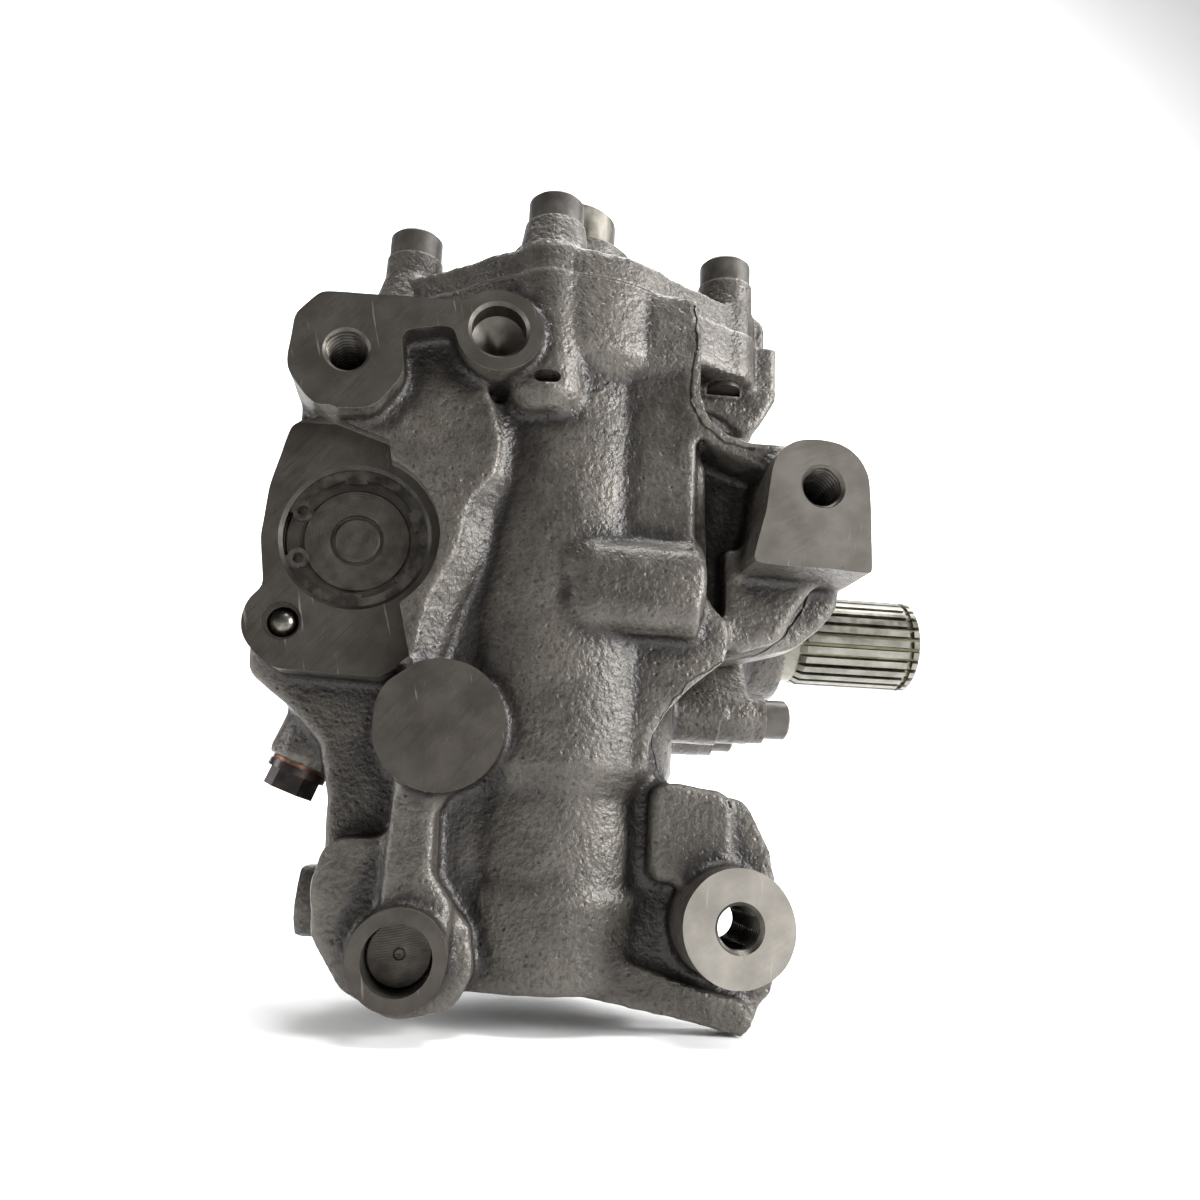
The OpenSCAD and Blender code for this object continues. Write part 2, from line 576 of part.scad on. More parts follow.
// Top cover that holds the rotary valve and the input seal
module valve_housing() {
    color(iron) difference() {
        union() {
            translate([0, 0, joint_z]) linear_extrude(valve_flange) joint_plan(valve_flange_d / 2,
                ear_r - 0.5);
            rod_z(collar_z1 + 0.5, joint_z + eps, bearing_r - 0.05, piston_x, piston_y);
            translate([piston_x, piston_y, joint_z + valve_flange - eps])
                cylinder(h = 8, r1 = dome_d / 2 + 8, r2 = dome_d / 2);
            rod_z(joint_z, dome_z, dome_d / 2, piston_x, piston_y);
            for (p = [left_bolt, right_bolt]) rod_z(joint_z, seat_z, ear_r - 1, p[0], p[1]);
            translate([left_bolt[0], left_bolt[1], joint_z]) cylinder(h = 18, r1 = ear_r + 4,
                r2 = ear_r - 1);
            for (p = [front_bolt, back_bolt]) {
                rod_z(joint_z, joint_z + valve_flange, 16.5, p[0], p[1]);
                translate([p[0], p[1], joint_z + valve_flange])
                    cylinder(h = valve_seat_h - valve_flange, r1 = 15.8, r2 = 13.2);
            }
            cast_body(right_bolt[1], right_bolt[1] + 30,
                      outline([[-20, joint_z, 0], [25, joint_z, 0], [25, joint_z + 13, 6],
                          [17, joint_z + 18, 5],
                               [2, joint_z + 18, 0], [-20, joint_z + 12, 0]]));
            for (x = port_xs) rod_y(piston_y, port_face_y, port_boss_r, x, port_z);
        }
        rod_z(collar_z1, sleeve_z1 + 0.3, valve_bore_r, piston_x, piston_y);
        rod_z(sleeve_z1, dome_z - seal_h, 15, piston_x, piston_y);
        rod_z(dome_z - seal_h, dome_z + eps, 17, piston_x, piston_y);
        for (p = valve_bolts) rod_z(joint_z - eps, seat_z + eps, valve_bolt_d / 2 + 0.4, p[0], p[1]);
        translate([piston_x, piston_y, joint_z - eps]) rotate_extrude()
            translate([bearing_r + 1.5, 0]) square([3.2, 2.2 + eps]);
        for (x = port_xs)
            translate([x, port_face_y, port_z]) rotate([-90, 0, 0]) thread_drill(port_drill_d,
                port_drill_d + 2.4, 18);
        for (x = port_xs) rod_y(piston_y + 15, port_face_y, 4, x, port_z);
    }
}
// Cap screw with a hexagon socket, head underside at height 0
module cap_screw(d, length, head_h) {
    head_r = d * 0.75;
    edge = d * 0.12;
    difference() {
        rotate_extrude()
            polygon(concat([[0, -length], [d / 2 - 1, -length], [d / 2 - seat, -length + 1],
                            [d / 2 - seat, 0], [head_r, 0]],
                           arc_points([head_r - edge, head_h - edge], edge, 0, 90, 5), [[0, head_h]]));
        translate([0, 0, head_h * 0.4]) cylinder(h = head_h, r = d * 0.46, $fn = 6);
    }
}
module valve_housing_screws() {
    color(dark_steel)
        for (p = valve_bolts) translate([p[0], p[1], seat_z])
            cap_screw(valve_bolt_d, valve_seat_h + valve_bolt_depth, valve_head_h);
}
module valve_housing_oring() {
    color(black) on_worm() translate([0, 0, joint_z + 1.1]) rotate_extrude()
        translate([bearing_r + 3.1, 0]) circle(r = 1.08, $fn = 24);
}

// Steel input shaft: round hub with a serrated socket, valve spool and drive tang
module input_shaft() {
    color(steel) on_worm() difference() {
        union() {
            translate([0, 0, tang_z1]) cylinder(h = sleeve_z1 - tang_z1, r = spool_r - 0.03);
            translate([0, 0, sleeve_z1]) cylinder(h = hub_z0 - sleeve_z1, r = input_neck_r);
            translate([0, 0, hub_z0]) rotate_extrude()
                polygon([[0, 0], [hub_d / 2 - 1, 0], [hub_d / 2, 1], [hub_d / 2, hub_h - 1.2],
                         [hub_d / 2 - 1.2, hub_h], [0, hub_h]]);
            intersection() {
                translate([0, 0, tang_z0 + 0.3]) cylinder(h = 8, r = worm_head_r - 4);
                translate([-20, -5, tang_z0]) cube([40, 10, 20]);
            }
        }
        for (a = [0:60:300]) rotate(a) translate([spool_r - 1, -1.5, tang_z1 + 6])
            cube([3, 3, sleeve_z1 - tang_z1 - 12]);
        translate([0, 0, tang_z0 - eps]) cylinder(h = hub_z0 + 2 - tang_z0, r = bar_r + seat);
        rod_x(-input_neck_r - eps, input_neck_r + eps, 1.5 + seat, 0, dome_z - 8);
        translate([0, 0, hub_z1 - socket_depth]) linear_extrude(socket_depth + eps) serrated_socket();
    }
}
module serrated_socket() {
    polygon([for (i = [0:2 * socket_teeth - 1])
        (socket_d / 2 + (i % 2) * 0.9) * [cos(180 * i / socket_teeth), sin(180 * i / socket_teeth)]]);
}
module input_bearing() {
    color(steel) on_worm() translate([0, 0, sleeve_z1 + 0.3]) ring(15 - seat,
        input_neck_r + shaft_clear, input_bearing_h - 0.1);
}
module input_seal() {
    color(black) on_worm() translate([0, 0, dome_z - seal_h + 0.1])
        ring(17 - seat, input_neck_r + shaft_clear, seal_h - 0.2);
}

// Spring steel bar that centres the valve, pinned in the input shaft
module torsion_bar() {
    color(steel) on_worm() difference() {
        rotate_extrude()
            polygon([[0, bearing_z0 + 2], [bar_r - shaft_clear, bearing_z0 + 2],
                [bar_r - shaft_clear, bearing_z0 + 14],
                     [bar_core_r, bearing_z0 + 18], [bar_core_r, dome_z - 18], [bar_r, dome_z - 14],
                     [bar_r, hub_z0 + 1.5], [0, hub_z0 + 1.5]]);
        rod_x(-bar_r - eps, bar_r + eps, 1.5 + seat, 0, dome_z - 8);
    }
}
module torsion_bar_pin() {
    color(dark_steel) on_worm() rod_x(-input_neck_r + 0.2, input_neck_r - 0.2, 1.5, 0, dome_z - 8);
}

// Outer member of the rotary valve, turned by the worm
module valve_sleeve() {
    color(dark_steel) on_worm() difference() {
        translate([0, 0, collar_z1 + 0.3]) cylinder(h = sleeve_z1 - collar_z1 - 0.3, r = sleeve_r);
        translate([0, 0, collar_z1]) cylinder(h = tang_z1 - collar_z1, r = worm_head_r + seat);
        translate([0, 0, collar_z1]) cylinder(h = sleeve_z1, r = spool_r);
        for (z = sleeve_ring_z) translate([0, 0, z]) ring(sleeve_r + 1, sleeve_r - 2, 2.2);
        for (z = [sleeve_ring_z[1] + 6, sleeve_ring_z[2] + 6])
            for (a = [30:60:330]) rotate(a) rod_x(spool_r - 1, sleeve_r + 1, 1.6, 0, z);
        rod_x(worm_head_r - 4, sleeve_r + 1, 1.5 + seat, 0, collar_z1 + 4);
    }
}
module valve_sleeve_rings() {
    color(polymer) on_worm()
        for (z = sleeve_ring_z) translate([0, 0, z + 0.1]) ring(sleeve_r - 0.01, sleeve_r - 1.9, 2);
}
module valve_sleeve_pin() {
    color(steel) on_worm() rod_x(worm_head_r - 3.8, sleeve_r - 0.4, 1.5, 0, collar_z1 + 4);
}

// Round tube that follows the ball track: rings of points on the helix, closed at both ends
track_sides = 10;
track_steps = 24;
track_r = (ball_d / 2 + track_gap) / cos(180 / track_sides);
function track_point(turns, k) =
    let (a = 360 * turns,
         b = 360 * k / track_sides,
         rr = ball_circle_r + track_r * cos(b))
    [rr * cos(a), rr * sin(a), worm_lead * turns + track_r * sin(b)];
module ball_track(turn0, turn1) {
    n = ceil((turn1 - turn0) * track_steps);
    points = [for (i = [0:n]) for (k = [0:track_sides - 1]) track_point(turn0 + (turn1 - turn0) * i / n, k)];
    sides = [for (i = [0:n - 1]) for (k = [0:track_sides - 1])
        [i * track_sides + k, i * track_sides + (k + 1) % track_sides,
         (i + 1) * track_sides + (k + 1) % track_sides, (i + 1) * track_sides + k]];
    first = [[for (k = [track_sides - 1:-1:0]) k]];
    last = [[for (k = [0:track_sides - 1]) n * track_sides + k]];
    polyhedron(points = points, faces = concat(sides, first, last), convexity = 10);
}
// Middle of the ball circuit, as a height, and the turn number there
circuit_z = piston_z1 - 26;
circuit_turn = circuit_z / worm_lead;
// How far the balls reach along the worm to each side of that, with some track to spare
circuit_run = ball_turns * worm_lead / 2 + stroke + 4;

// Worm with its ball track, bearing journal and valve head
module worm_shaft() {
    color(steel) on_worm() difference() {
        rotate_extrude()
            polygon([[0, worm_z0], [worm_r - 1.5, worm_z0], [worm_r, worm_z0 + 1.5], [worm_r, bore_z1 - 2],
                     [worm_journal_r, bore_z1 - 2], [worm_journal_r, bearing_z1 + 0.2],
                     [16, bearing_z1 + 0.2],
                     [16, collar_z1], [worm_head_r, collar_z1], [worm_head_r, tang_z1 - 0.2],
                     [0, tang_z1 - 0.2]]);
        translate([0, 0, bearing_z0 + 1]) cylinder(h = 60, r = bar_r);
        intersection() {
            translate([0, 0, tang_z0]) cylinder(h = 20, r = worm_head_r - 3.8);
            for (a = [-4.5, 4.5]) rotate(a) translate([-20, -5.1, tang_z0]) cube([40, 10.2, 20]);
        }
        rod_x(worm_head_r - 4, worm_head_r + 1, 1.5 + seat, 0, collar_z1 + 4);
        ball_track(circuit_turn - circuit_run / worm_lead, circuit_turn + circuit_run / worm_lead);
    }
}
module worm_bearing_outer() {
    color(steel) on_worm() difference() {
        translate([0, 0, bearing_z0 + 0.1]) ring(bearing_r - seat, 21.5, bearing_h - 0.2);
        translate([0, 0, bearing_z0 + bearing_h / 2]) rotate_extrude()
            translate([19, 0]) circle(r = bearing_ball_d / 2 + 0.05, $fn = 32);
    }
}
module worm_bearing_inner() {
    color(steel) on_worm() difference() {
        translate([0, 0, bearing_z0 + 0.1]) ring(16.5, worm_journal_r + seat, bearing_h - 0.2);
        translate([0, 0, bearing_z0 + bearing_h / 2]) rotate_extrude()
            translate([19, 0]) circle(r = bearing_ball_d / 2 + 0.05, $fn = 32);
    }
}
module worm_bearing_balls() {
    color(steel) on_worm()
        for (i = [0:12]) rotate(i * 360 / 13) translate([19, 0, bearing_z0 + bearing_h / 2])
            sphere(d = bearing_ball_d, $fn = 24);
}

// Piston that is also the nut of the worm and the rack of the sector
piston_outer_r = piston_r - piston_clear;
rack_half = tooth_pitch * sector_teeth / 2;
nut_r = ball_circle_r + 0.6;
module rack_gap(k) {
    w0 = tooth_pitch / 4 + backlash / 2;
    slope = tan(pressure_angle);
    low = -dedendum;
    high = addendum + 12;
    translate([rack_y, sector_z + k * tooth_pitch])
        polygon([[low, -w0 - low * slope], [high, -w0 - high * slope], [high, w0 + high * slope],
                 [low, w0 + low * slope]]);
}
module rack_piston() {
    color(dark_steel) difference() {
        on_worm() difference() {
            rotate_extrude()
                polygon([[0, piston_z0], [piston_outer_r - 3, piston_z0], [piston_outer_r, piston_z0 + 3],
                         [piston_outer_r, piston_z0 + 8], [piston_outer_r - 3, piston_z0 + 8],
                         [piston_outer_r - 3, piston_z0 + 12], [piston_outer_r, piston_z0 + 12],
                         [piston_outer_r, piston_z1 - 2], [piston_outer_r - 2, piston_z1], [0, piston_z1]]);
            translate([0, 0, piston_z0 - eps]) cylinder(h = 40, r = 30);
            translate([0, 0, worm_z0 - stroke - 6]) cylinder(h = 200, r = nut_r);
            ball_track(circuit_turn - ball_turns / 2 - 0.05, circuit_turn + ball_turns / 2 + 0.05);
        }
        along_x(piston_x - piston_r, piston_x + piston_r)
            translate([rack_y + addendum, sector_z - rack_half]) square([30, 2 * rack_half]);
        along_x(piston_x - piston_r, piston_x + piston_r)
            for (k = [-(sector_teeth - 1) / 2:(sector_teeth - 1) / 2]) rack_gap(k);
    }
}
module piston_ring() {
    color(polymer) on_worm() translate([0, 0, piston_z0 + 8.1]) ring(piston_outer_r,
        piston_outer_r - 2.8, 3.8);
}
ball_count = floor(ball_turns * 2 * PI * ball_circle_r / (ball_d + 0.35));
module recirculating_balls() {
    color(steel) on_worm() for (i = [0:ball_count - 1]) {
        turns = circuit_turn + ball_turns * ((i + 0.5) / ball_count - 0.5);
        rotate(360 * turns) translate([ball_circle_r, 0, worm_lead * turns]) sphere(d = ball_d, $fn = 24);
    }
}

// Involute tooth of the sector that points along -Y, as [radius, half angle] from root to tip
base_r = pitch_r * cos(pressure_angle);
function inv(a) = tan(a) - a * PI / 180;
function half_angle(r) =
    let (pitch_half = (tooth_pitch / 2 - backlash / 2) / (2 * pitch_r),
         a = r > base_r ? acos(base_r / r) : 0)
    (pitch_half + inv(pressure_angle) - inv(a)) * 180 / PI;
flank = [for (r = [root_r - 1, base_r, base_r + 1.2, base_r + 2.6, pitch_r + 0.6, pitch_r + 2.8, tip_r]) r];
module sector_tooth() {
    side_a = [for (r = flank) r * [cos(half_angle(r)), sin(half_angle(r))]];
    side_b = [for (i = [len(flank) - 1:-1:0]) flank[i] * [cos(half_angle(flank[i])),
        -sin(half_angle(flank[i]))]];
    polygon(concat(side_a, side_b));
}
module spline_profile() {
    r0 = spline_d / 2;
    r1 = r0 - spline_depth;
    step = 360 / spline_count;
    polygon([for (i = [0:spline_count - 1]) for (q = [[0.13, r1], [0.2, r0], [0.5, r0 + 0.02],
        [0.8, r0], [0.87, r1]])
        q[1] * [cos(step * (i + q[0])), sin(step * (i + q[0]))]]);
}

// Output shaft with the sector teeth and the spline for the drop arm
ring_groove_x = shaft_end_x - 6.5;
module sector_shaft() {
    color(steel) difference() {
        union() {
            on_sector() rotate_extrude()
                polygon([[0, shaft_x0], [rear_r - 1, shaft_x0], [rear_r, shaft_x0 + 1],
                         [rear_r, chamber_x0 + 2], [root_r, chamber_x0 + 4],
                         [root_r, chamber_x0 + 4 + sector_width],
                         [journal_r, chamber_x0 + 10 + sector_width], [journal_r, seal_boss_x + 1],
                         [journal_r - 2.2, seal_boss_x + 4], [journal_r - 2.2, spline_x0],
                         [spline_d / 2 - spline_depth, spline_x0 + 2],
                         [spline_d / 2 - spline_depth, shaft_end_x],
                         [0, shaft_end_x]]);
            on_side(piston_x - sector_width / 2, piston_x + sector_width / 2)
                for (k = [-(sector_teeth - 1) / 2:(sector_teeth - 1) / 2])
                    rotate(180 + k * 360 / full_teeth) sector_tooth();
            intersection() {
                on_side(spline_x0, shaft_end_x) spline_profile();
                on_sector() rotate_extrude()
                    polygon([[0, spline_x0 - 1], [spline_d / 2 - spline_depth, spline_x0 - 1],
                             [spline_d / 2 + 1, spline_x0 + 6], [spline_d / 2 + 1, ring_groove_x],
                             [spline_d / 2 - 1.7, ring_groove_x], [spline_d / 2 - 1.7, ring_groove_x + 2.4],
                             [spline_d / 2 + 1, ring_groove_x + 2.4], [spline_d / 2 + 1, shaft_end_x - 2],
                             [spline_d / 2 - 1.8, shaft_end_x], [0, shaft_end_x]]);
            }
        }
        rod_x(shaft_x0 - eps, shaft_x0 + 8, adjuster_head_r + 0.3, sector_y, sector_z);
        rod_x(shaft_end_x - 6, shaft_end_x + eps, 3, sector_y, sector_z);
    }
}
module sector_bearing_rear() {
    color(steel) on_sector() translate([0, 0, rear_x0 + 2]) ring(rear_seat_r - seat,
        rear_r + shaft_clear, 24);
}
module sector_bearing_front() {
    color(steel) on_sector() translate([0, 0, pilot_x0 + 6])
        ring(front_seat_r - seat, journal_r + shaft_clear, front_bearing_x1 - pilot_x0 - 6.2);
}
module sector_seal() {
    color(black) on_sector() translate([0, 0, seal_seat_x + 0.2]) ring(seal_seat_r - seat,
        journal_r + shaft_clear, 7);
}
module sector_dust_seal() {
    color(black) on_sector() translate([0, 0, seal_seat_x + 7.5])
        ring(seal_seat_r - seat, journal_r + shaft_clear, seal_boss_x - seal_seat_x - 8);
}

// Iron cover on the output side, with the bearing and the seal boss
module side_cover() {
    color(iron) difference() {
        union() {
            on_side(side_x, side_x + side_flange) side_face(chamber_r + 9, side_lobe_r - 1);
            for (p = side_bolts) rod_x(side_x, boss_x, side_lobe_r - 1.5, sector_y + p[0], sector_z + p[1]);
            on_sector() rotate_extrude()
                polygon([[0, pilot_x0], [cover_pilot_r - 1, pilot_x0], [cover_pilot_r, pilot_x0 + 1],
                         [cover_pilot_r, pilot_x0 + 2.4], [cover_pilot_r - 2.4, pilot_x0 + 2.4],
                         [cover_pilot_r - 2.4, pilot_x0 + 5.4], [cover_pilot_r, pilot_x0 + 5.4],
                         [cover_pilot_r, side_x + 1], [cover_pilot_r + 4, side_x + side_flange],
                         [seal_boss_d / 2, side_x + side_flange + 8], [seal_boss_d / 2, seal_boss_x - 1.5],
                         [seal_boss_d / 2 - 1.5, seal_boss_x], [0, seal_boss_x]]);
        }
        on_side(pilot_x0 - eps, front_bearing_x1) circle(r = front_seat_r);
        on_side(front_bearing_x1 - eps, seal_seat_x + eps) circle(r = journal_r + 1);
        on_side(seal_seat_x, seal_boss_x + eps) circle(r = seal_seat_r);
        for (p = side_bolts)
            rod_x(side_x - eps, boss_x + eps, side_bolt_d / 2 + 0.4, sector_y + p[0], sector_z + p[1]);
    }
}
module side_cover_screws() {
    color(dark_steel) for (p = side_bolts)
        translate([boss_x, sector_y + p[0], sector_z + p[1]]) rotate([0, 90, 0])
            cap_screw(side_bolt_d, boss_x - side_x + side_bolt_reach, side_bolt_d);
}
module side_cover_oring() {
    color(black) on_sector() translate([0, 0, pilot_x0 + 3.9]) rotate_extrude()
        translate([cover_pilot_r - 1.2, 0]) circle(r = 1.18, $fn = 24);
}

// Lash adjuster: its round head turns in the end of the sector shaft
module adjuster_screw() {
    color(dark_steel) difference() {
        union() {
            rod_x(rear_x0 - end_wall - 16, shaft_x0 + 2, adjuster_r - seat, sector_y, sector_z);
            rod_x(shaft_x0 + 1.8, shaft_x0 + 7.6, adjuster_head_r, sector_y, sector_z);
        }
        translate([rear_x0 - end_wall - 16 - eps, sector_y, sector_z]) rotate([0, 90, 0])
            cylinder(h = 6 + eps, r = 3.4, $fn = 6);
    }
}
module adjuster_nut() {
    color(steel) translate([rear_x0 - end_wall - 12, sector_y, sector_z]) rotate([0, 90, 0]) difference() {
        cylinder(h = 9.9, r = 10.9, $fn = 6);
        translate([0, 0, -eps]) cylinder(h = 12, r = adjuster_r);
    }
}
module adjuster_retainer() {
    color(steel) on_sector() translate([0, 0, shaft_x0]) ring(adjuster_head_r + 0.3 - seat,
        adjuster_r + 0.4, 1.6);
}

// Cap in the left bore, with a raised round centre, and its ring and seal
module bore_cap() {
    color(dark_steel) translate([cap_x, cap_plate_y, cap_z]) rotate([90, 0, 0]) rotate_extrude()
        polygon([[0, -5], [8.2, -5], [9, -5.8], [9, -7], [10.4, -7], [10.4, -5.8], [20.4, -5.8], [21, -6.4],
                 [21, -7], [cap_bore_d / 2 - 0.6, -7], [cap_bore_d / 2 - seat, -7.6],
                 [cap_bore_d / 2 - seat, -12], [cap_bore_d / 2 - 2.6, -12], [cap_bore_d / 2 - 2.6, -16],
                 [cap_bore_d / 2 - seat, -16], [cap_bore_d / 2 - seat, -21], [cap_bore_d / 2 - 4, -21.9],
                 [0, -21.9]]);
}
module bore_cap_oring() {
    color(black) translate([cap_x, cap_plate_y + 14, cap_z]) rotate([90, 0, 0]) rotate_extrude()
        translate([cap_bore_d / 2 - 1.3, 0]) circle(r = 1.26, $fn = 24);
}
// Internal ring: open band in the groove, two lugs with plier holes and inward tabs
module retaining_ring() {
    outer = cap_bore_d / 2 + 1.3;
    inner = cap_bore_d / 2 - 3.6;
    gap = 24;
    lug_a = [180 - gap, 180 + gap];
    color(dark_steel) translate([cap_x, cap_plate_y + 4.5, cap_z]) rotate([90, 0, 0]) linear_extrude(2)
        difference() {
            union() {
                difference() {
                    circle(r = outer);
                    circle(r = inner);
                    polygon([[0, 0], 60 * [cos(180 - gap + 5), sin(180 - gap + 5)],
                             60 * [cos(180 + gap - 5), sin(180 + gap - 5)]]);
                }
                for (a = lug_a) rotate(a) translate([inner - 0.8, 0]) circle(r = 4);
                for (a = [95, 21, -34, -90]) rotate(a) translate([inner - 2, -4.2]) square([4, 8.4]);
            }
            for (a = lug_a) rotate(a) translate([inner - 0.8, 0]) circle(r = 2.1);
        }
}
module ball_plug() {
    color(steel) translate([ball_plug_x, cap_plate_y + plug_ball_in,
        ball_plug_z]) sphere(d = plug_ball_d - 0.1);
}
module core_plug() {
    color(dark_steel) translate([lower_ring_x, core_plug_y, lower_ring_z]) rotate([90, 0,
        0]) rotate_extrude()
        polygon([[0, -0.6], [1.6, -0.4], [2.3, 0], [lower_ring_bore / 2 - 1, 0],
            [lower_ring_bore / 2 - seat, -1],
                 [lower_ring_bore / 2 - seat, -3], [0, -3]]);
}

// Flanged hexagon plug below the cap plate, with its sealing washer
module hex_plug() {
    color(dark_steel) translate(hex_plug_at) rotate([0, hex_plug_tilt, 0]) {
        translate([0, 0, -10]) cylinder(h = 8, r = 10.4, $fn = 6);
        translate([0, 0, -2.6]) cylinder(h = 3, r = 12);
        cylinder(h = 16, r = 7 - seat);
    }
}
module hex_plug_washer() {
    color(bronze) translate(hex_plug_at) rotate([0, hex_plug_tilt, 0]) translate([0, 0,
        0.4]) ring(11.4, 7.1, 1.5);
}

gear_housing();
valve_housing();
valve_housing_screws();
valve_housing_oring();
input_shaft();
input_bearing();
input_seal();
torsion_bar();
torsion_bar_pin();
valve_sleeve();
valve_sleeve_rings();
valve_sleeve_pin();
worm_shaft();
worm_bearing_outer();
worm_bearing_inner();
worm_bearing_balls();
rack_piston();
piston_ring();
recirculating_balls();
sector_shaft();
sector_bearing_rear();
sector_bearing_front();
sector_seal();
sector_dust_seal();
side_cover();
side_cover_screws();
side_cover_oring();
adjuster_screw();
adjuster_nut();
adjuster_retainer();
bore_cap();
bore_cap_oring();
retaining_ring();
ball_plug();
core_plug();
hex_plug();
hex_plug_washer();
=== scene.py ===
import math

import bmesh
import bpy
import numpy as np
from mathutils import Matrix, Vector, bvhtree, kdtree, noise


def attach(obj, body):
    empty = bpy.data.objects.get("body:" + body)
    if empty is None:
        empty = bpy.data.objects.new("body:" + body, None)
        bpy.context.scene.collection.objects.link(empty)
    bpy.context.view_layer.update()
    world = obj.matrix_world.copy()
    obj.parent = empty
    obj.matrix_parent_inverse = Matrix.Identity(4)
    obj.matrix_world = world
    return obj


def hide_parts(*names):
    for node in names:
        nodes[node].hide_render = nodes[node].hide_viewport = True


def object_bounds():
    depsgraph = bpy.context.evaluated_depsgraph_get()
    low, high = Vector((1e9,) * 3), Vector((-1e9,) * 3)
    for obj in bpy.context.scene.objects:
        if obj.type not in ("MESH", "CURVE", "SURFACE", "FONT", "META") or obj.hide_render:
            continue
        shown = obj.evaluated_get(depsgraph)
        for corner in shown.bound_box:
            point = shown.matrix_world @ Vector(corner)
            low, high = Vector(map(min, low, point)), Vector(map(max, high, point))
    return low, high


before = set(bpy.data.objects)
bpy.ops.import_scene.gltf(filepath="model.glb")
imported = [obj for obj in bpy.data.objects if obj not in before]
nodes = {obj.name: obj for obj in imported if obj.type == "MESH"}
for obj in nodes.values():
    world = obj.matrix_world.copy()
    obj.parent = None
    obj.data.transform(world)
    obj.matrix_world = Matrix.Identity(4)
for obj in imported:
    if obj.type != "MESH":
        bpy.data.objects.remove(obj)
cad_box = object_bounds()
MM = 0.001

# Camera. It stands low in front of the mounting face and looks a little up and to the right,
# as the photograph does; the focal length was solved with the mounting holes.
camera_data = bpy.data.cameras.new("camera")
camera = bpy.data.objects.new("camera", camera_data)
bpy.context.scene.collection.objects.link(camera)
bpy.context.scene.camera = camera
camera_data.lens = 29.118
camera_data.clip_start = 0.01
view_azimuth, view_rise, view_roll = math.radians(-7.4676), math.radians(12.6083), math.radians(2.32)
camera.matrix_world = (
    Matrix.Translation(Vector((-103.0, -358.0, 37.4)) * MM)
    @ Matrix.Rotation(view_azimuth, 4, "Z")
    @ Matrix.Rotation(math.radians(90) + view_rise, 4, "X")
    @ Matrix.Rotation(view_roll, 4, "Z")
)

# Studio. A pale floor that sweeps up into the backdrop, a soft key light at the right, weaker ones
# above and at the left, and a large one that whitens the backdrop, in a pale room.
floor_z = cad_box[0][2] - 0.0005
sweep = [(-2.5, floor_z)] + [
    (1.6 + 1.2 * math.sin(a * math.pi / 24), floor_z + 1.2 - 1.2 * math.cos(a * math.pi / 24))
    for a in range(13)
]
sweep.append((2.8, 4.0))
floor_mesh = bpy.data.meshes.new("floor")
floor_mesh.from_pydata(
    [(x, y, z) for y, z in sweep for x in (-4, 4)],
    [],
    [(2 * i, 2 * i + 1, 2 * i + 3, 2 * i + 2) for i in range(len(sweep) - 1)],
)
floor_mesh.shade_smooth()
floor = bpy.data.objects.new("floor", floor_mesh)
bpy.context.scene.collection.objects.link(floor)
paper = bpy.data.materials.new("paper")
paper.use_nodes = True
paper.node_tree.nodes["Principled BSDF"].inputs["Base Color"].default_value = (0.95, 0.95, 0.95, 1)
paper.node_tree.nodes["Principled BSDF"].inputs["Roughness"].default_value = 0.9
floor_mesh.materials.append(paper)

room = bpy.data.worlds.new("room")
room.use_nodes = True
room.node_tree.nodes["Background"].inputs["Color"].default_value = (1, 1, 1, 1)
room.node_tree.nodes["Background"].inputs["Strength"].default_value = 0.19
bpy.context.scene.world = room
bpy.context.scene.view_settings.view_transform = "Standard"


def soft_light(name, place, size, power, target=(-0.06, 0.06, 0.12)):
    light = bpy.data.lights.new(name, "AREA")
    light.size = size
    light.energy = power
    lamp = bpy.data.objects.new(name, light)
    bpy.context.scene.collection.objects.link(lamp)
    aim = Vector(target) - Vector(place)
    lamp.matrix_world = Matrix.Translation(place) @ aim.to_track_quat("-Z", "Y").to_matrix().to_4x4()


soft_light("key_light", (1.35, -0.75, 0.6), 0.8, 54)
soft_light("top_light", (0.1, -0.25, 1.4), 0.5, 15)
soft_light("left_light", (-1.3, -0.1, 0.3), 0.5, 6)
soft_light("wall_light", (0.5, 0.6, 2.0), 2.2, 180, (0.5, 3.0, 0.7))


# Gear housing: one heavy grey iron casting. It is poured here with spare stock on its faces and
# with no holes, as a founder makes it; the rough body is remeshed, rounded and roughened, and
# then milled, bored, drilled and tapped.
def new_object(name, mesh):
    thing = bpy.data.objects.new(name, mesh)
    bpy.context.scene.collection.objects.link(thing)
    return thing


def applied(thing):
    """The plain mesh of an object with its modifiers applied; the object is removed."""
    bpy.context.view_layer.update()
    mesh = bpy.data.meshes.new_from_object(thing.evaluated_get(bpy.context.evaluated_depsgraph_get()))
    bpy.data.objects.remove(thing)
    return mesh


def closed_rings(rings):
    """Mesh of a closed body from rings of points in millimetres that follow one another."""
    body = bmesh.new()
    loops = [[body.verts.new(Vector(point) * MM) for point in ring] for ring in rings]
    sides = len(loops[0])
    for low, high in zip(loops, loops[1:]):
        for i in range(sides):
            body.faces.new((low[i], low[(i + 1) % sides], high[(i + 1) % sides], high[i]))
    body.faces.new(list(reversed(loops[0])))
    body.faces.new(loops[-1])
    bmesh.ops.recalc_face_normals(body, faces=body.faces)
    mesh = bpy.data.meshes.new("body")
    body.to_mesh(mesh)
    body.free()
    return mesh


def around(mouth, axis, along, radius, angle):
    """Point at a distance along an axis from its mouth, at a radius and an angle round it."""
    axis = Vector(axis).normalized()
    side = axis.orthogonal().normalized()
    return Vector(mouth) + axis * along + (side * math.cos(angle) + axis.cross(side) * math.sin(angle)) * radius


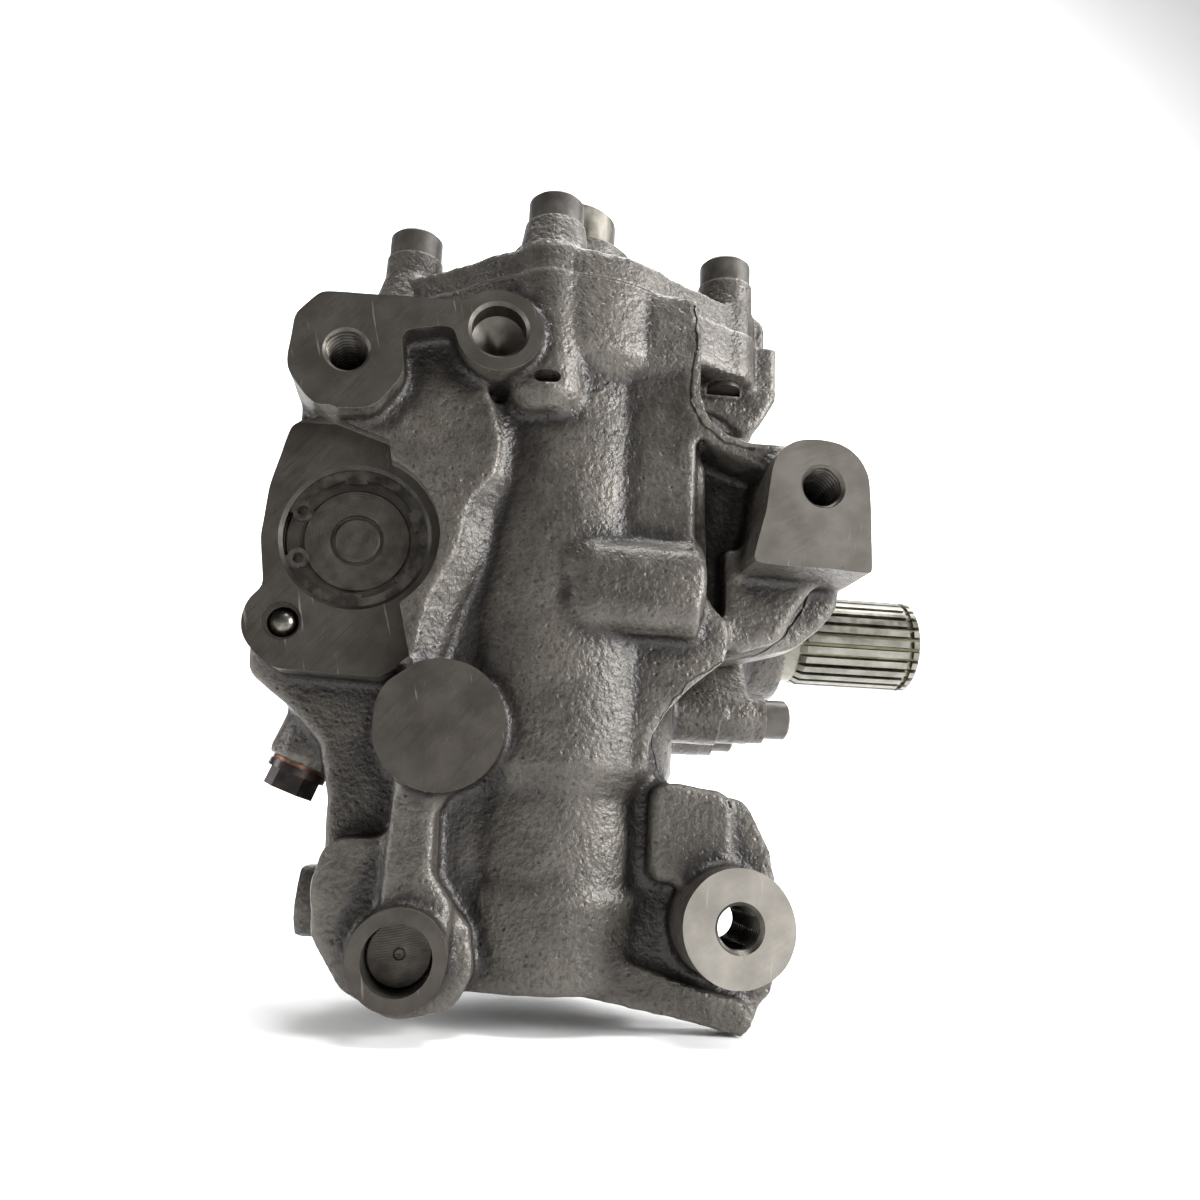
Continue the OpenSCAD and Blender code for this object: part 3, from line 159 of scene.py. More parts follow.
def turned(mouth, axis, profile, sides=64):
    """Closed body of revolution: profile holds (distance along the axis, radius) in millimetres."""
    angles = [2 * math.pi * i / sides for i in range(sides)]
    return closed_rings([[around(mouth, axis, along, r, a) for a in angles] for along, r in profile])


# Radius of the chamfer at the mouth of the mounting holes, and radius of the cap bore.
THREAD_MOUTH = 9.4
CAP_RADIUS = 29.5


def tapped(mouth, axis, length, pitch=2.5, crest=7.75, root=9.0, lip=THREAD_MOUTH, sides=36):
    """Cutter for a threaded hole: a bar whose surface is a screw thread, with a chamfered mouth."""
    rings = []
    for k in range(int((length + 6) / pitch * 8) + 1):
        along = -6 + k * pitch / 8
        ring = []
        for i in range(sides):
            wave = abs(((along / pitch - i / sides) % 1) * 2 - 1)
            radius = crest + (root - crest) * min(max(1.25 * wave - 0.12, 0), 1)
            radius = max(radius, lip - max(along, 0)) if along < lip - crest else radius
            ring.append(around(mouth, axis, along, radius, 2 * math.pi * i / sides))
        rings.append(ring)
    return closed_rings(rings)


def hole(mouth, axis, profile, sides=64, plug_length=None):
    """A drilled hole as (plug, cutter): the plug fills it before casting, the cutter drills it."""
    top = profile[0][1]
    cutter = turned(mouth, axis, [(-12, top)] + profile, sides)
    filled = profile if plug_length is None else [(0, top), (plug_length - 0.4, top)]
    plug = turned(mouth, axis, [(-2, top + 0.4)] + [(t + 0.4, r + 0.4) for t, r in filled], sides)
    return plug, cutter


def slab(low, high):
    """A box between two corners in millimetres."""
    (x0, y0, z0), (x1, y1, z1) = low, high
    return closed_rings([[(x0, y0, z), (x1, y0, z), (x1, y1, z), (x0, y1, z)] for z in (z0, z1)])


def poured(name, milled, plugs, grain, rounding, swell):
    """Rough casting of a CAD node: stock on its milled planes, holes plugged, edges rounded."""
    body = bmesh.new()
    body.from_mesh(nodes[name].data)
    bmesh.ops.remove_doubles(body, verts=body.verts, dist=1e-6)
    body.normal_update()
    for axis, place, sign, stock in milled:
        flat = [
            f for f in body.faces
            if sign * f.normal[axis] > 0.999 and all(abs(v.co[axis] - place * MM) < 2e-5 for v in f.verts)
        ]
        grown = bmesh.ops.extrude_face_region(body, geom=flat)["geom"]
        bmesh.ops.delete(body, geom=flat, context="FACES_ONLY")
        for v in grown:
            if isinstance(v, bmesh.types.BMVert):
                v.co[axis] += sign * stock * MM
    for plug in plugs:
        body.from_mesh(plug)
    mesh = bpy.data.meshes.new(name + "_rough")
    body.to_mesh(mesh)
    body.free()
    mesh.materials.clear()
    rough = new_object(name + "_rough", mesh)
    remesh = rough.modifiers.new("sand", "REMESH")
    remesh.mode = "VOXEL"
    remesh.voxel_size = grain * MM
    smooth = rough.modifiers.new("rounding", "SMOOTH")
    smooth.factor = 0.5
    smooth.iterations = rounding
    mesh = applied(rough)
    for vertex, normal in zip(mesh.vertices, [n.vector.copy() for n in mesh.vertex_normals]):
        place = vertex.co / MM
        wave = 0.7 * noise.noise(place / 18) + 0.3 * noise.noise(place / 7)
        vertex.co += normal * (swell * wave * MM)
    return mesh


def curvature(mesh, spread):
    """How far each vertex stands above (+) or below (-) its neighbours, evened out over the mesh."""
    count = len(mesh.vertices)
    co = np.empty(count * 3)
    mesh.vertices.foreach_get("co", co)
    co = co.reshape(-1, 3)
    normals = np.empty(count * 3)
    mesh.vertex_normals.foreach_get("vector", normals)
    ends = np.empty(len(mesh.edges) * 2, int)
    mesh.edges.foreach_get("vertices", ends)
    one, two = ends.reshape(-1, 2).T
    near = np.maximum(np.bincount(one, minlength=count) + np.bincount(two, minlength=count), 1)

    def mean(values):
        total = np.bincount(one, values[two], count) + np.bincount(two, values[one], count)
        return total / near

    middle = np.stack([mean(co[:, i]) for i in range(3)], 1)
    height = ((co - middle) * normals.reshape(-1, 3)).sum(1) / MM
    for _ in range(spread):
        height = 0.5 * height + 0.5 * mean(height)
    return height


def machined(name, rough, steps):
    """The casting after machining: steps holds (operation, tool mesh) in their order."""
    thing = new_object(name, rough)
    tools = []
    for i, (operation, tool_mesh) in enumerate(steps):
        tool = new_object(f"{name}_tool_{i}", tool_mesh)
        tool.hide_render = True
        tools.append(tool)
        cut = thing.modifiers.new(f"cut_{i}", "BOOLEAN")
        cut.operation = operation
        cut.solver = "MANIFOLD"
        cut.object = tool
    mesh = applied(thing)
    for tool in tools:
        bpy.data.objects.remove(tool)
    return mesh


# Finishes of a casting, in the order of its material slots.
PAINTED, BRIGHT, DULL, BORED, GREY = range(5)


def bright(centre):
    return np.full(len(centre), BRIGHT)


def dull(centre):
    return np.full(len(centre), DULL)


def pad_finish(centre):
    """On the mounting plane the faces at the left are dull, the lower pad bright and the right pad grey."""
    return np.where(centre[:, 0] < -30, DULL, np.where(centre[:, 2] < 100, BRIGHT, GREY))


def finish_casting(name, rough, mesh, planes, bores, paints):
    """Set bare metal by where it was milled or bored; mark worn edges with a painted highlight, and painted shade in
    hollows.
    """
    count = len(mesh.polygons)
    centre, normal = np.empty(count * 3), np.empty(count * 3)
    mesh.polygons.foreach_get("center", centre)
    mesh.polygons.foreach_get("normal", normal)
    centre, normal = centre.reshape(-1, 3) / MM, normal.reshape(-1, 3)
    index = np.zeros(count, int)
    for mouth, axis, radius, depth in bores:
        axis = np.array(Vector(axis).normalized())
        away = centre - np.array(mouth, float)
        along = away @ axis
        across = np.linalg.norm(away - np.outer(along, axis), axis=1)
        index[(along > -0.2) & (along < depth + 0.3) & (across < radius + 0.15)] = BORED
    for axis, place, sign, kind in planes:
        flat = (abs(centre[:, axis] - place) < 0.02) & (normal[:, axis] * sign > 0.99)
        index[flat] = kind(centre)[flat]
    mesh.materials.clear()
    for paint in paints:
        mesh.materials.append(paint)
    mesh.polygons.foreach_set("material_index", index)
    high = curvature(rough, 1)
    low = curvature(rough, 14)
    tree = kdtree.KDTree(len(rough.vertices))
    for i, vertex in enumerate(rough.vertices):
        tree.insert(vertex.co, i)
    tree.balance()
    nearest = np.array([tree.find(vertex.co)[1] for vertex in mesh.vertices])
    bare = np.zeros(len(mesh.vertices), bool)
    painted = np.zeros(len(mesh.vertices), bool)
    drilled = np.zeros(len(mesh.vertices), bool)
    for polygon, kind in zip(mesh.polygons, index):
        (painted if kind == PAINTED else bare)[list(polygon.vertices)] = True
        if kind == BORED:
            drilled[list(polygon.vertices)] = True
    # Convex edges are painted lighter, partly as worn paint and partly as a painted highlight; where paint meets bare
    # metal the paint is worn.
    edge = np.clip(high[nearest] / 0.16, 0, 1) * 0.3
    edge[bare & painted] = 1
    # Painted shade in concave hollows, from the curvature evened out over the mesh, and less of it in drilled holes.
    painted_shade = np.clip(-low[nearest] / 0.035, 0, 1)
    painted_shade[drilled] *= 0.2
    places = np.array([vertex.co / MM for vertex in mesh.vertices])
    # Painted shade on the wall of the cap bore and in the roots of the threads.
    for mouth, axis, radius, depth in bores:
        away = places - np.array(mouth, float)
        across = np.hypot(away[:, 0], away[:, 2])
        if radius == CAP_RADIUS:
            painted_shade[(away[:, 1] > -0.1) & (away[:, 1] < depth) & (across < CAP_RADIUS + 0.2)] = 0.75
        if radius == THREAD_MOUTH:
            threaded = (away[:, 1] > 1.9) & (away[:, 1] < depth) & (across < 9.1)
            painted_shade[threaded] = np.clip((across[threaded] - 7.85) / 0.7, 0, 1)
    for label, values in (("edge", edge), ("painted_shade", painted_shade)):
        mesh.attributes.new(label, "FLOAT", "POINT").data.foreach_set("value", values)
    mesh.shade_smooth()
    mesh.set_sharp_from_angle(angle=math.radians(40))
    return new_object(name, mesh)


class Finish:
    """A metal or rubber finish: its shader and the few kinds of grain that these pieces need."""

    def __init__(self, name, colour, rough, metal=0.0):
        self.material = bpy.data.materials.new(name)
        self.material.use_nodes = True
        self.tree = self.material.node_tree
        self.shader = self.tree.nodes["Principled BSDF"]
        self.shader.inputs["Base Color"].default_value = (*colour, 1)
        self.shader.inputs["Roughness"].default_value = rough
        self.shader.inputs["Metallic"].default_value = metal
        self.place = self.tree.nodes.new("ShaderNodeTexCoord").outputs["Object"]

    def node(self, kind, inputs=(), **settings):
        made = self.tree.nodes.new(kind)
        for key, value in settings.items():
            setattr(made, key, value)
        for key, value in dict(inputs).items():
            if isinstance(value, bpy.types.NodeSocket):
                self.tree.links.new(value, made.inputs[key])
            else:
                made.inputs[key].default_value = value
        return made

    def grain(self, scale, detail=4, stretch=None, turn=0.0):
        place = self.place
        if turn:
            place = self.node(
                "ShaderNodeVectorRotate", {"Vector": place, "Angle": turn}, rotation_type="Y_AXIS"
            ).outputs["Vector"]
        if stretch:
            place = self.node("ShaderNodeMapping", {"Vector": place, "Scale": stretch}).outputs["Vector"]
        return self.node("ShaderNodeTexNoise", {"Vector": place, "Scale": scale, "Detail": detail}).outputs["Fac"]

    def pits(self, scale, size):
        cells = self.node("ShaderNodeTexVoronoi", {"Vector": self.place, "Scale": scale}).outputs["Distance"]
        return self.between(cells, 0, size)

    def between(self, value, low, high, to_low=0.0, to_high=1.0):
        return self.node(
            "ShaderNodeMapRange",
            {"Value": value, "From Min": low, "From Max": high, "To Min": to_low, "To Max": to_high},
        ).outputs["Result"]

    def mark(self, name):
        return self.node("ShaderNodeAttribute", attribute_name=name).outputs["Fac"]

    def mixed(self, amount, one, two):
        mix = self.tree.nodes.new("ShaderNodeMix")
        mix.data_type = "RGBA"
        for socket, value in ((mix.inputs[0], amount), (mix.inputs[6], one), (mix.inputs[7], two)):
            if isinstance(value, bpy.types.NodeSocket):
                self.tree.links.new(value, socket)
            else:
                socket.default_value = (*value, 1) if isinstance(value, tuple) else value
        return mix.outputs[2]

    def both(self, one, two, operation="MULTIPLY"):
        return self.node("ShaderNodeMath", {0: one, 1: two}, operation=operation).outputs[0]

    def colour(self, socket):
        self.tree.links.new(socket, self.shader.inputs["Base Color"])

    def roughness(self, socket):
        self.tree.links.new(socket, self.shader.inputs["Roughness"])

    def relief(self, *layers):
        below = None
        for height, depth, strength in layers:
            bump = self.node("ShaderNodeBump", {"Height": height, "Distance": depth * MM, "Strength": strength})
            if below:
                self.tree.links.new(below, bump.inputs["Normal"])
            below = bump.outputs["Normal"]
        self.tree.links.new(below, self.shader.inputs["Normal"])


cast_paint = Finish("cast_paint", (0.07, 0.063, 0.056), 0.42, 0.3)
patchy = cast_paint.between(cast_paint.grain(40, 5), 0.35, 0.65)
base = cast_paint.mixed(patchy, (0.04, 0.0345, 0.029), (0.078, 0.069, 0.059))
speck = cast_paint.between(cast_paint.grain(1000, 3), 0.5, 0.7)
base = cast_paint.mixed(cast_paint.both(speck, 0.18), base, (0.15, 0.138, 0.122))
dirt = cast_paint.between(cast_paint.grain(520, 4), 0.46, 0.36)
base = cast_paint.mixed(cast_paint.both(dirt, 0.5), base, (0.012, 0.011, 0.01))
pit = cast_paint.pits(190, 0.2)
base = cast_paint.mixed(cast_paint.between(pit, 0.2, 0.9, 0.8, 0.0), base, (0.01, 0.009, 0.008))
# Painted shade in the hollows.
base = cast_paint.mixed(cast_paint.both(cast_paint.mark("painted_shade"), 0.85), base, (0.012, 0.01, 0.009))
# Edges lighter as worn paint and as a painted highlight.
base = cast_paint.mixed(cast_paint.both(cast_paint.mark("edge"), 0.4), base, (0.3, 0.28, 0.25))
cast_paint.colour(base)
cast_paint.roughness(cast_paint.between(cast_paint.grain(160, 4), 0.3, 0.7, 0.33, 0.47))
cast_paint.relief(
    (cast_paint.grain(130, 3), 0.5, 0.9),
    (cast_paint.grain(420, 3), 0.68, 1.0),
    (cast_paint.grain(1000, 2), 0.09, 1.0),
    (pit, 0.45, 0.7),
)


def milled_finish(name, dark, light, rough, turn):
    """A face cut with a wide milling cutter: fine parallel marks, scratches and stains."""
    face = Finish(name, light, rough, 0.75)
    marks = face.grain(60, 3, (1, 8, 26), turn)
    scratches = face.between(face.grain(30, 3, (1.4, 1, 22), turn + 0.9), 0.66, 0.72)
    stain = face.between(face.grain(70, 5), 0.38, 0.66)
    tone = face.mixed(stain, dark, light)
    tone = face.mixed(face.both(scratches, 0.3), tone, (0.4, 0.38, 0.34))
    face.colour(tone)
    face.roughness(face.between(marks, 0.3, 0.7, rough - 0.08, rough + 0.12))
    face.relief((marks, 0.05, 0.6), (face.grain(700, 2), 0.05, 0.4))
    return face.material


bright_milled = milled_finish("bright_milled", (0.19, 0.176, 0.155), (0.27, 0.253, 0.226), 0.5, 0.6)
grey_milled = milled_finish("grey_milled", (0.082, 0.075, 0.065), (0.122, 0.113, 0.099), 0.52, 0.5)
dull_milled = milled_finish("dull_milled", (0.045, 0.039, 0.033), (0.072, 0.064, 0.055), 0.52, 0.9)

bored = Finish("bored_iron", (0.14, 0.13, 0.115), 0.4, 0.8)
steel = bored.mixed(bored.between(bored.grain(90, 4), 0.35, 0.65), (0.06, 0.053, 0.045), (0.15, 0.138, 0.12))
# Painted shade in the bores and in the roots of the threads.
bored.colour(bored.mixed(bored.both(bored.mark("painted_shade"), 0.97), steel, (0.004, 0.004, 0.003)))
bored.relief((bored.grain(500, 3), 0.08, 0.5))

PISTON = (-68.0, 67.0)
SECTOR = (126.0, 132.0)
JOINT_Z = 258.0
SIDE_X = 9.0
up, down, front, back, right, left = (0, 0, 1), (0, 0, -1), (0, -1, 0), (0, 1, 0), (1, 0, 0), (-1, 0, 0)
valve_bolts = [(-141.5, 60.0), (-79.5, 20.0), (-56.5, 114.0)]
right_valve_bolt = (5.0, 53.0)
all_valve_bolts = valve_bolts + [right_valve_bolt]
LEFT_HOLE, RIGHT_HOLE, LOWER_HOLE = (-159.2, 0, 210.8), (33.3, 0, 171.7), (0, 0, 0)
CAP_BORE, BALL_HOLE = (-151.5, 20, 141.5), (-176, 20, 106)
UPPER_RECESS, LOWER_RECESS = (-101, 0, 226), (-121.5, 0, -13.5)
side_bolts = [
    (SECTOR[0] + 67 * math.cos(math.radians(45 + 90 * i)), SECTOR[1] + 67 * math.sin(math.radians(45 + 90 * i)))
    for i in range(4)
]
hex_tilt = math.radians(20.5)
hex_up = (math.sin(hex_tilt), 0, math.cos(hex_tilt))
hex_seat = (-170, 58, 52)

housing_holes = [
    hole((*PISTON, JOINT_Z), down, [(0, 26), (36.04, 26), (36.04, 18), (42.04, 18), (42.04, 42), (259.96, 42)], 96),
    hole((SIDE_X, *SECTOR), left, [(0, 40.12), (103, 40.12), (103, 26), (133, 26), (133, 6), (152, 6)], 96),
    hole(
        CAP_BORE, back,
        [(0, CAP_RADIUS), (1.5, 28), (2.4, 28), (2.4, CAP_RADIUS), (4.6, CAP_RADIUS), (4.6, 28), (22, 28),
         (22, 25), (48, 25)],
        96,
    ),
    hole(UPPER_RECESS, back, [(0, 12.4), (1.4, 11), (10, 11), (16, 1.6), (16.6, 0.2)]),
    hole(LOWER_RECESS, back, [(0, 12.3), (23, 12.3)]),
    hole(BALL_HOLE, back, [(0, 7.45), (3, 7.45), (3, 6.02), (13, 6.02), (13, 4), (40, 4)], 48),
    hole((*right_valve_bolt, JOINT_Z), down, [(0, 8), (26, 8)], 32, 22),
    hole(hex_seat, hex_up, [(0, 7), (24, 7)], 48),
]
housing_holes += [hole((x, y, JOINT_Z), down, [(0, 8), (26, 8)], 32) for x, y in valve_bolts]
housing_holes += [hole((SIDE_X, y, z), left, [(0, 6), (22, 6)], 32) for y, z in side_bolts]
for mouth in (LEFT_HOLE, RIGHT_HOLE):
    housing_holes.append((turned(mouth, back, [(-2, 9.8), (32.4, 9.8)]), tapped(mouth, back, 32)))
housing_holes.append((turned(LOWER_HOLE, back, [(-2, 9.8), (42, 9.8)]), tapped(LOWER_HOLE, back, 48)))
back_mouth = turned((0, 42, 0), front, [(-6, THREAD_MOUTH), (0, THREAD_MOUTH), (1.8, 7.6)])
slot_fill = slab((-87.5, 5.4, 206), (-73.5, 21, 215))
cast_slot = closed_rings([
    [(-80.5 + 5.5 * math.copysign(abs(math.cos(a)) ** 0.6, math.cos(a)), y, 210.1 + 2.7 * math.sin(a))
     for a in (2 * math.pi * i / 32 for i in range(32))]
    for y in (-5, 20)
])

# Cutter for the flat plate round the cap bore, 20 mm behind the mounting face.
plate_outline = (
    (25, -47), (22, -36), (18, -20), (14, 20), (10, 39), (-12, 46), (-37, 45), (-46, 17), (-46, -24),
    (-40, -50), (-28, -57), (14, -56),
)
plate_cutters = [
    closed_rings([[(CAP_BORE[0] + x, y, CAP_BORE[2] + z) for x, z in plate_outline] for y in (-15, 20)]),
    turned(CAP_BORE, front, [(0, 33), (30, 33)], 96),
    turned(BALL_HOLE, front, [(0, 20), (30, 20)], 64),
]

# Fillets of the casting: between the barrel and the right shoulder, in the valley beside the cap
# plate, and the square body of the oil gallery.
shoulder_fillet = closed_rings([
    [(x0, y0, z), (-15.5, 15.5, z), (-15.5, 34, z), (x0, 34, z)]
    for x0, y0, z in ((-47, 18.5, 148), (-47, 18.5, 206), (-44, 17, 216), (-36, 13.5, 226), (-36, 13.5, 258))
])
valley_path = ((-126, 92), (-120.5, 117), (-112, 135), (-108.5, 156), (-98.5, 170), (-97.5, 186), (-101.5, 202))
valley_fillet = closed_rings([
    [(x - 4, 15.2, z), (x + 4, 16.6, z), (x + 10, 20, z), (x + 13.5, 27, z), (x + 13.5, 40, z), (x - 4, 40, z)]
    for x, z in valley_path
])
gallery_section = ((30, 109), (15, 109), (10, 113), (8, 119), (8, 136), (10, 142.5), (15.5, 146.5), (30, 147))
gallery_body = closed_rings([
    [(x, 24 + (y - 24) * size, 128 + (z - 128) * size) for y, z in gallery_section]
    for x, size in ((-69, 0.5), (-65, 0.84), (-58, 1.0), (-14, 1.0))
])
rough_housing = poured(
    "gear_housing",
    [(1, 0, -1, 6), (2, JOINT_Z, 1, 6), (0, SIDE_X, 1, 6), (1, 20, -1, 5)],
    [plug for plug, _ in housing_holes] + [slot_fill, shoulder_fillet, valley_fillet, gallery_body],
    1.88, 4, 0.45,
)


def scribed(rough, path, width, seed):
    """Cutter for an open line on the front of a casting: a thin uneven tube laid on its surface."""
    skin = bvhtree.BVHTree.FromPolygons([v.co / MM for v in rough.vertices], [p.vertices[:] for p in rough.polygons])
    points = []
    for (x0, z0), (x1, z1) in zip(path, path[1:]):
        steps = max(int(math.hypot(x1 - x0, z1 - z0) / 2), 1)
        points += [(x0 + (x1 - x0) * i / steps, z0 + (z1 - z0) * i / steps) for i in range(steps)]
    points.append(path[-1])
    rings = []
    for i, (x, z) in enumerate(points):
        (xa, za), (xb, zb) = points[max(i - 1, 0)], points[min(i + 1, len(points) - 1)]
        way = Vector((xb - xa, 0, zb - za)).normalized()
        across = Vector((way.z, 0, -way.x))
        shift = noise.noise(Vector((i * 0.45, seed, 0))) * 1.3
        hit = skin.ray_cast(Vector((x, -20, z)) + across * shift, Vector((0, 1, 0)))[0]
        if hit is None:
            continue
        radius = width * (0.75 + 0.6 * noise.noise(Vector((i * 0.7, seed, 5))))
        rings.append([
            hit + across * (radius * math.cos(a)) + Vector((0, 1.6 * radius * math.sin(a), 0))
            for a in (math.pi * k / 4 for k in range(8))
        ])
    return closed_rings(rings)


# Parting line of the mould: an open, uneven line along the right edge of the shoulder, the lug
# and the foot, where the two halves of the mould met.
parting_lines = [
    scribed(rough_housing, path, width, seed)
    for path, width, seed in (
        (
            ((-17.7, 255), (-16.7, 236.6), (-18.8, 222.4), (-19.5, 210.3), (-14.1, 200.7), (-3.7, 192.6), (9.4, 190.5)),
            0.8, 1,
        ),
        (((41, 139), (38.6, 131.3), (30.3, 117.7), (20.5, 109.1), (8, 105)), 0.7, 2),
        (((0.2, 45.6), (4, 39.4), (2.9, 26.4)), 0.7, 3),
        (((-2, 101.3), (-16.4, 91.7), (-26.7, 77.5), (-29.5, 67), (-24.7, 56)), 0.5, 4),
    )
]
housing_mesh = machined(
    "housing_casting", rough_housing.copy(),
    [("DIFFERENCE", slab((-210, -20, -60), (80, 0, 280))),
     ("DIFFERENCE", slab((-210, -30, JOINT_Z), (80, 220, 280))),
     ("DIFFERENCE", slab((SIDE_X, 66, 50), (60, 240, 214))),
     ("DIFFERENCE", back_mouth), ("DIFFERENCE", cast_slot)]
    + [("DIFFERENCE", cutter) for cutter in plate_cutters]
    + [("DIFFERENCE", cutter) for _, cutter in housing_holes]
    + [("DIFFERENCE", line) for line in parting_lines],
)
housing_casting = finish_casting(
    "housing_casting", rough_housing, housing_mesh,
    [(1, 0, -1, pad_finish), (1, 20, -1, dull), (2, JOINT_Z, 1, bright), (0, SIDE_X, 1, bright)],
    [(mouth, back, THREAD_MOUTH, 60) for mouth in (LEFT_HOLE, RIGHT_HOLE, LOWER_HOLE)]
    + [(CAP_BORE, back, CAP_RADIUS, 48), (UPPER_RECESS, back, 12.4, 17), (LOWER_RECESS, back, 12.3, 23),
     (BALL_HOLE, back, 7.5, 40), ((*PISTON, JOINT_Z), down, 26, 44), ((SIDE_X, *SECTOR), left, 40.2, 150)]
    + [((x, y, JOINT_Z), down, 8.1, 26) for x, y in all_valve_bolts],
    [cast_paint.material, bright_milled, dull_milled, bored.material, grey_milled],
)

# Painted shade darkens the valley beside the cap plate.
places = np.array([vertex.co / MM for vertex in housing_casting.data.vertices])
valley_x = np.interp(places[:, 2], [z for _, z in valley_path], [x for x, _ in valley_path]) + 11
valley_shade = np.clip(1.3 - abs(places[:, 0] - valley_x) / 9, 0, 1) * 0.75
valley_shade *= np.clip((places[:, 2] - 84) / 14, 0, 1) * np.clip((206 - places[:, 2]) / 14, 0, 1)
valley_shade *= (places[:, 1] > 13) & (places[:, 1] < 45)
painted_shade = np.empty(len(places))
housing_casting.data.attributes["painted_shade"].data.foreach_get("value", painted_shade)
housing_casting.data.attributes["painted_shade"].data.foreach_set("value", np.maximum(painted_shade, valley_shade))
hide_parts("gear_housing")
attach(housing_casting, "housing")

# Valve housing: the cast iron top cover. Its flange and screw bosses stay rough; the joint, the
# screw seats, the rim round the input shaft and the two port faces behind are machined.
SEAT_Z = 285.5
DOME_Z = 296.5
PORT_Y = 113.0
valve_holes = [
    hole((*PISTON, DOME_Z), down, [(0, 17), (4.6, 17), (4.6, 15), (10.6, 15), (10.6, 21), (56.6, 21), (70, 21)], 96)
]
valve_holes += [hole((x, PORT_Y, 282), front, [(0, 9.4), (1.2, 8.2), (18, 8.2)], 48) for x in (-95, -31)]
valve_holes += [hole((x, y, SEAT_Z), down, [(0, 8.4), (40, 8.4)], 32) for x, y in all_valve_bolts]
rough_cover = poured(
    "valve_housing",
    [(2, JOINT_Z, -1, 5), (2, SEAT_Z, 1, 3), (2, DOME_Z, 1, 3), (1, PORT_Y, 1, 3)],
    [plug for plug, _ in valve_holes[:3]] + [
        turned((x, y, SEAT_Z + 2), down, [(0, 9), (33, 9)], 32) for x, y in all_valve_bolts
    ],
    1.5, 4, 0.3,
)
cover_mesh = machined(
    "valve_cover_casting", rough_cover.copy(),
    [("DIFFERENCE", slab((-210, -30, 200), (80, 220, JOINT_Z))),
     ("DIFFERENCE", slab((-210, -30, DOME_Z), (80, 220, 320))),
     ("DIFFERENCE", slab((-210, PORT_Y, 200), (80, 150, 320))),
     ("UNION", turned((*PISTON, JOINT_Z + 2), down, [(0, 25.95), (19.5, 25.95)], 96))]
    + [("DIFFERENCE", turned((x, y, SEAT_Z), up, [(0, 15), (12, 15)], 48)) for x, y in all_valve_bolts]
    + [("DIFFERENCE", cutter) for _, cutter in valve_holes],
)
valve_casting = finish_casting(
    "valve_cover_casting", rough_cover, cover_mesh,
    [(2, JOINT_Z, -1, bright), (2, SEAT_Z, 1, dull), (2, DOME_Z, 1, dull), (1, PORT_Y, 1, bright)],
    [((*PISTON, DOME_Z), down, 26, 60), ((-95, PORT_Y, 282), front, 9.4, 18), ((-31, PORT_Y, 282), front, 9.4, 18)],
    [cast_paint.material, bright_milled, dull_milled, bored.material],
)
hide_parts("valve_housing")
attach(valve_casting, "housing")

# Side cover: a cast iron disc with four lobes and a round seal boss, machined on its joint face,
# on the faces under the screws and round the output shaft.
BOSS_X = 31.0
SEAL_X = 50.0
cover_holes = [hole((SEAL_X, *SECTOR), left, [(0, 30), (12, 30), (12, 25), (16, 25), (16, 29.5), (60, 29.5)], 96)]
side_hole_cutters = [turned((BOSS_X + 6, y, z), left, [(0, 6.4), (40, 6.4)], 32) for y, z in side_bolts]
rough_side = poured(
    "side_cover",
    [(0, SIDE_X, -1, 4), (0, BOSS_X, 1, 3), (0, SEAL_X, 1, 3)],
    [plug for plug, _ in cover_holes] + [
        turned((BOSS_X + 2, y, z), left, [(0, 7), (26, 7)], 32) for y, z in side_bolts
    ],
    1.5, 4, 0.3,
)
side_mesh = machined(
    "side_cover_casting", rough_side.copy(),
    [("DIFFERENCE", slab((-60, -30, 0), (SIDE_X, 260, 300))),
     ("DIFFERENCE", slab((SEAL_X, -30, 0), (80, 260, 300))),
     ("UNION", turned((SIDE_X + 2, *SECTOR), left, [(0, 40.07), (9, 40.07)], 96))]
    + [("DIFFERENCE", turned((BOSS_X, y, z), right, [(0, 12.6), (9, 12.6)], 48)) for y, z in side_bolts]
    + [("DIFFERENCE", cutter) for _, cutter in cover_holes]
    + [("DIFFERENCE", cutter) for cutter in side_hole_cutters],
)
side_casting = finish_casting(
    "side_cover_casting", rough_side, side_mesh,
    [(0, SIDE_X, -1, bright), (0, BOSS_X, 1, dull), (0, SEAL_X, 1, dull)],
    [((SEAL_X, *SECTOR), left, 30.1, 60)],
    [cast_paint.material, bright_milled, dull_milled, bored.material],
)
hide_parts("side_cover")
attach(side_casting, "housing")

# Cap screws: M16 through the valve housing and M12 through the side cover, forged heads with a
# hexagon socket, painted over with the rest of the gear.
screw_paint = Finish("screw_paint", (0.07, 0.063, 0.056), 0.44, 0.3)
screw_tone = screw_paint.mixed(
    screw_paint.between(screw_paint.grain(120, 4), 0.35, 0.65), (0.034, 0.03, 0.026), (0.068, 0.061, 0.053)
)
screw_paint.colour(screw_tone)
screw_paint.roughness(screw_paint.between(screw_paint.grain(220, 3), 0.3, 0.7, 0.34, 0.5))
screw_paint.relief((screw_paint.grain(260, 3), 0.25, 0.6), (screw_paint.grain(800, 2), 0.12, 0.5))

screw_tree = bpy.data.node_groups.new("cap_screws", "GeometryNodeTree")
screw_sockets = {
    label: screw_tree.interface.new_socket(label, in_out="INPUT", socket_type=kind).identifier
    for label, kind in (
        ("Seats", "NodeSocketGeometry"), ("Thread Diameter", "NodeSocketFloat"),
        ("Shank Length", "NodeSocketFloat"), ("Head Height", "NodeSocketFloat"),
        ("Turn", "NodeSocketVector"), ("Metal", "NodeSocketMaterial"),
    )
}
screw_tree.interface.new_socket("Screws", in_out="OUTPUT", socket_type="NodeSocketGeometry")
given = screw_tree.nodes.new("NodeGroupInput").outputs


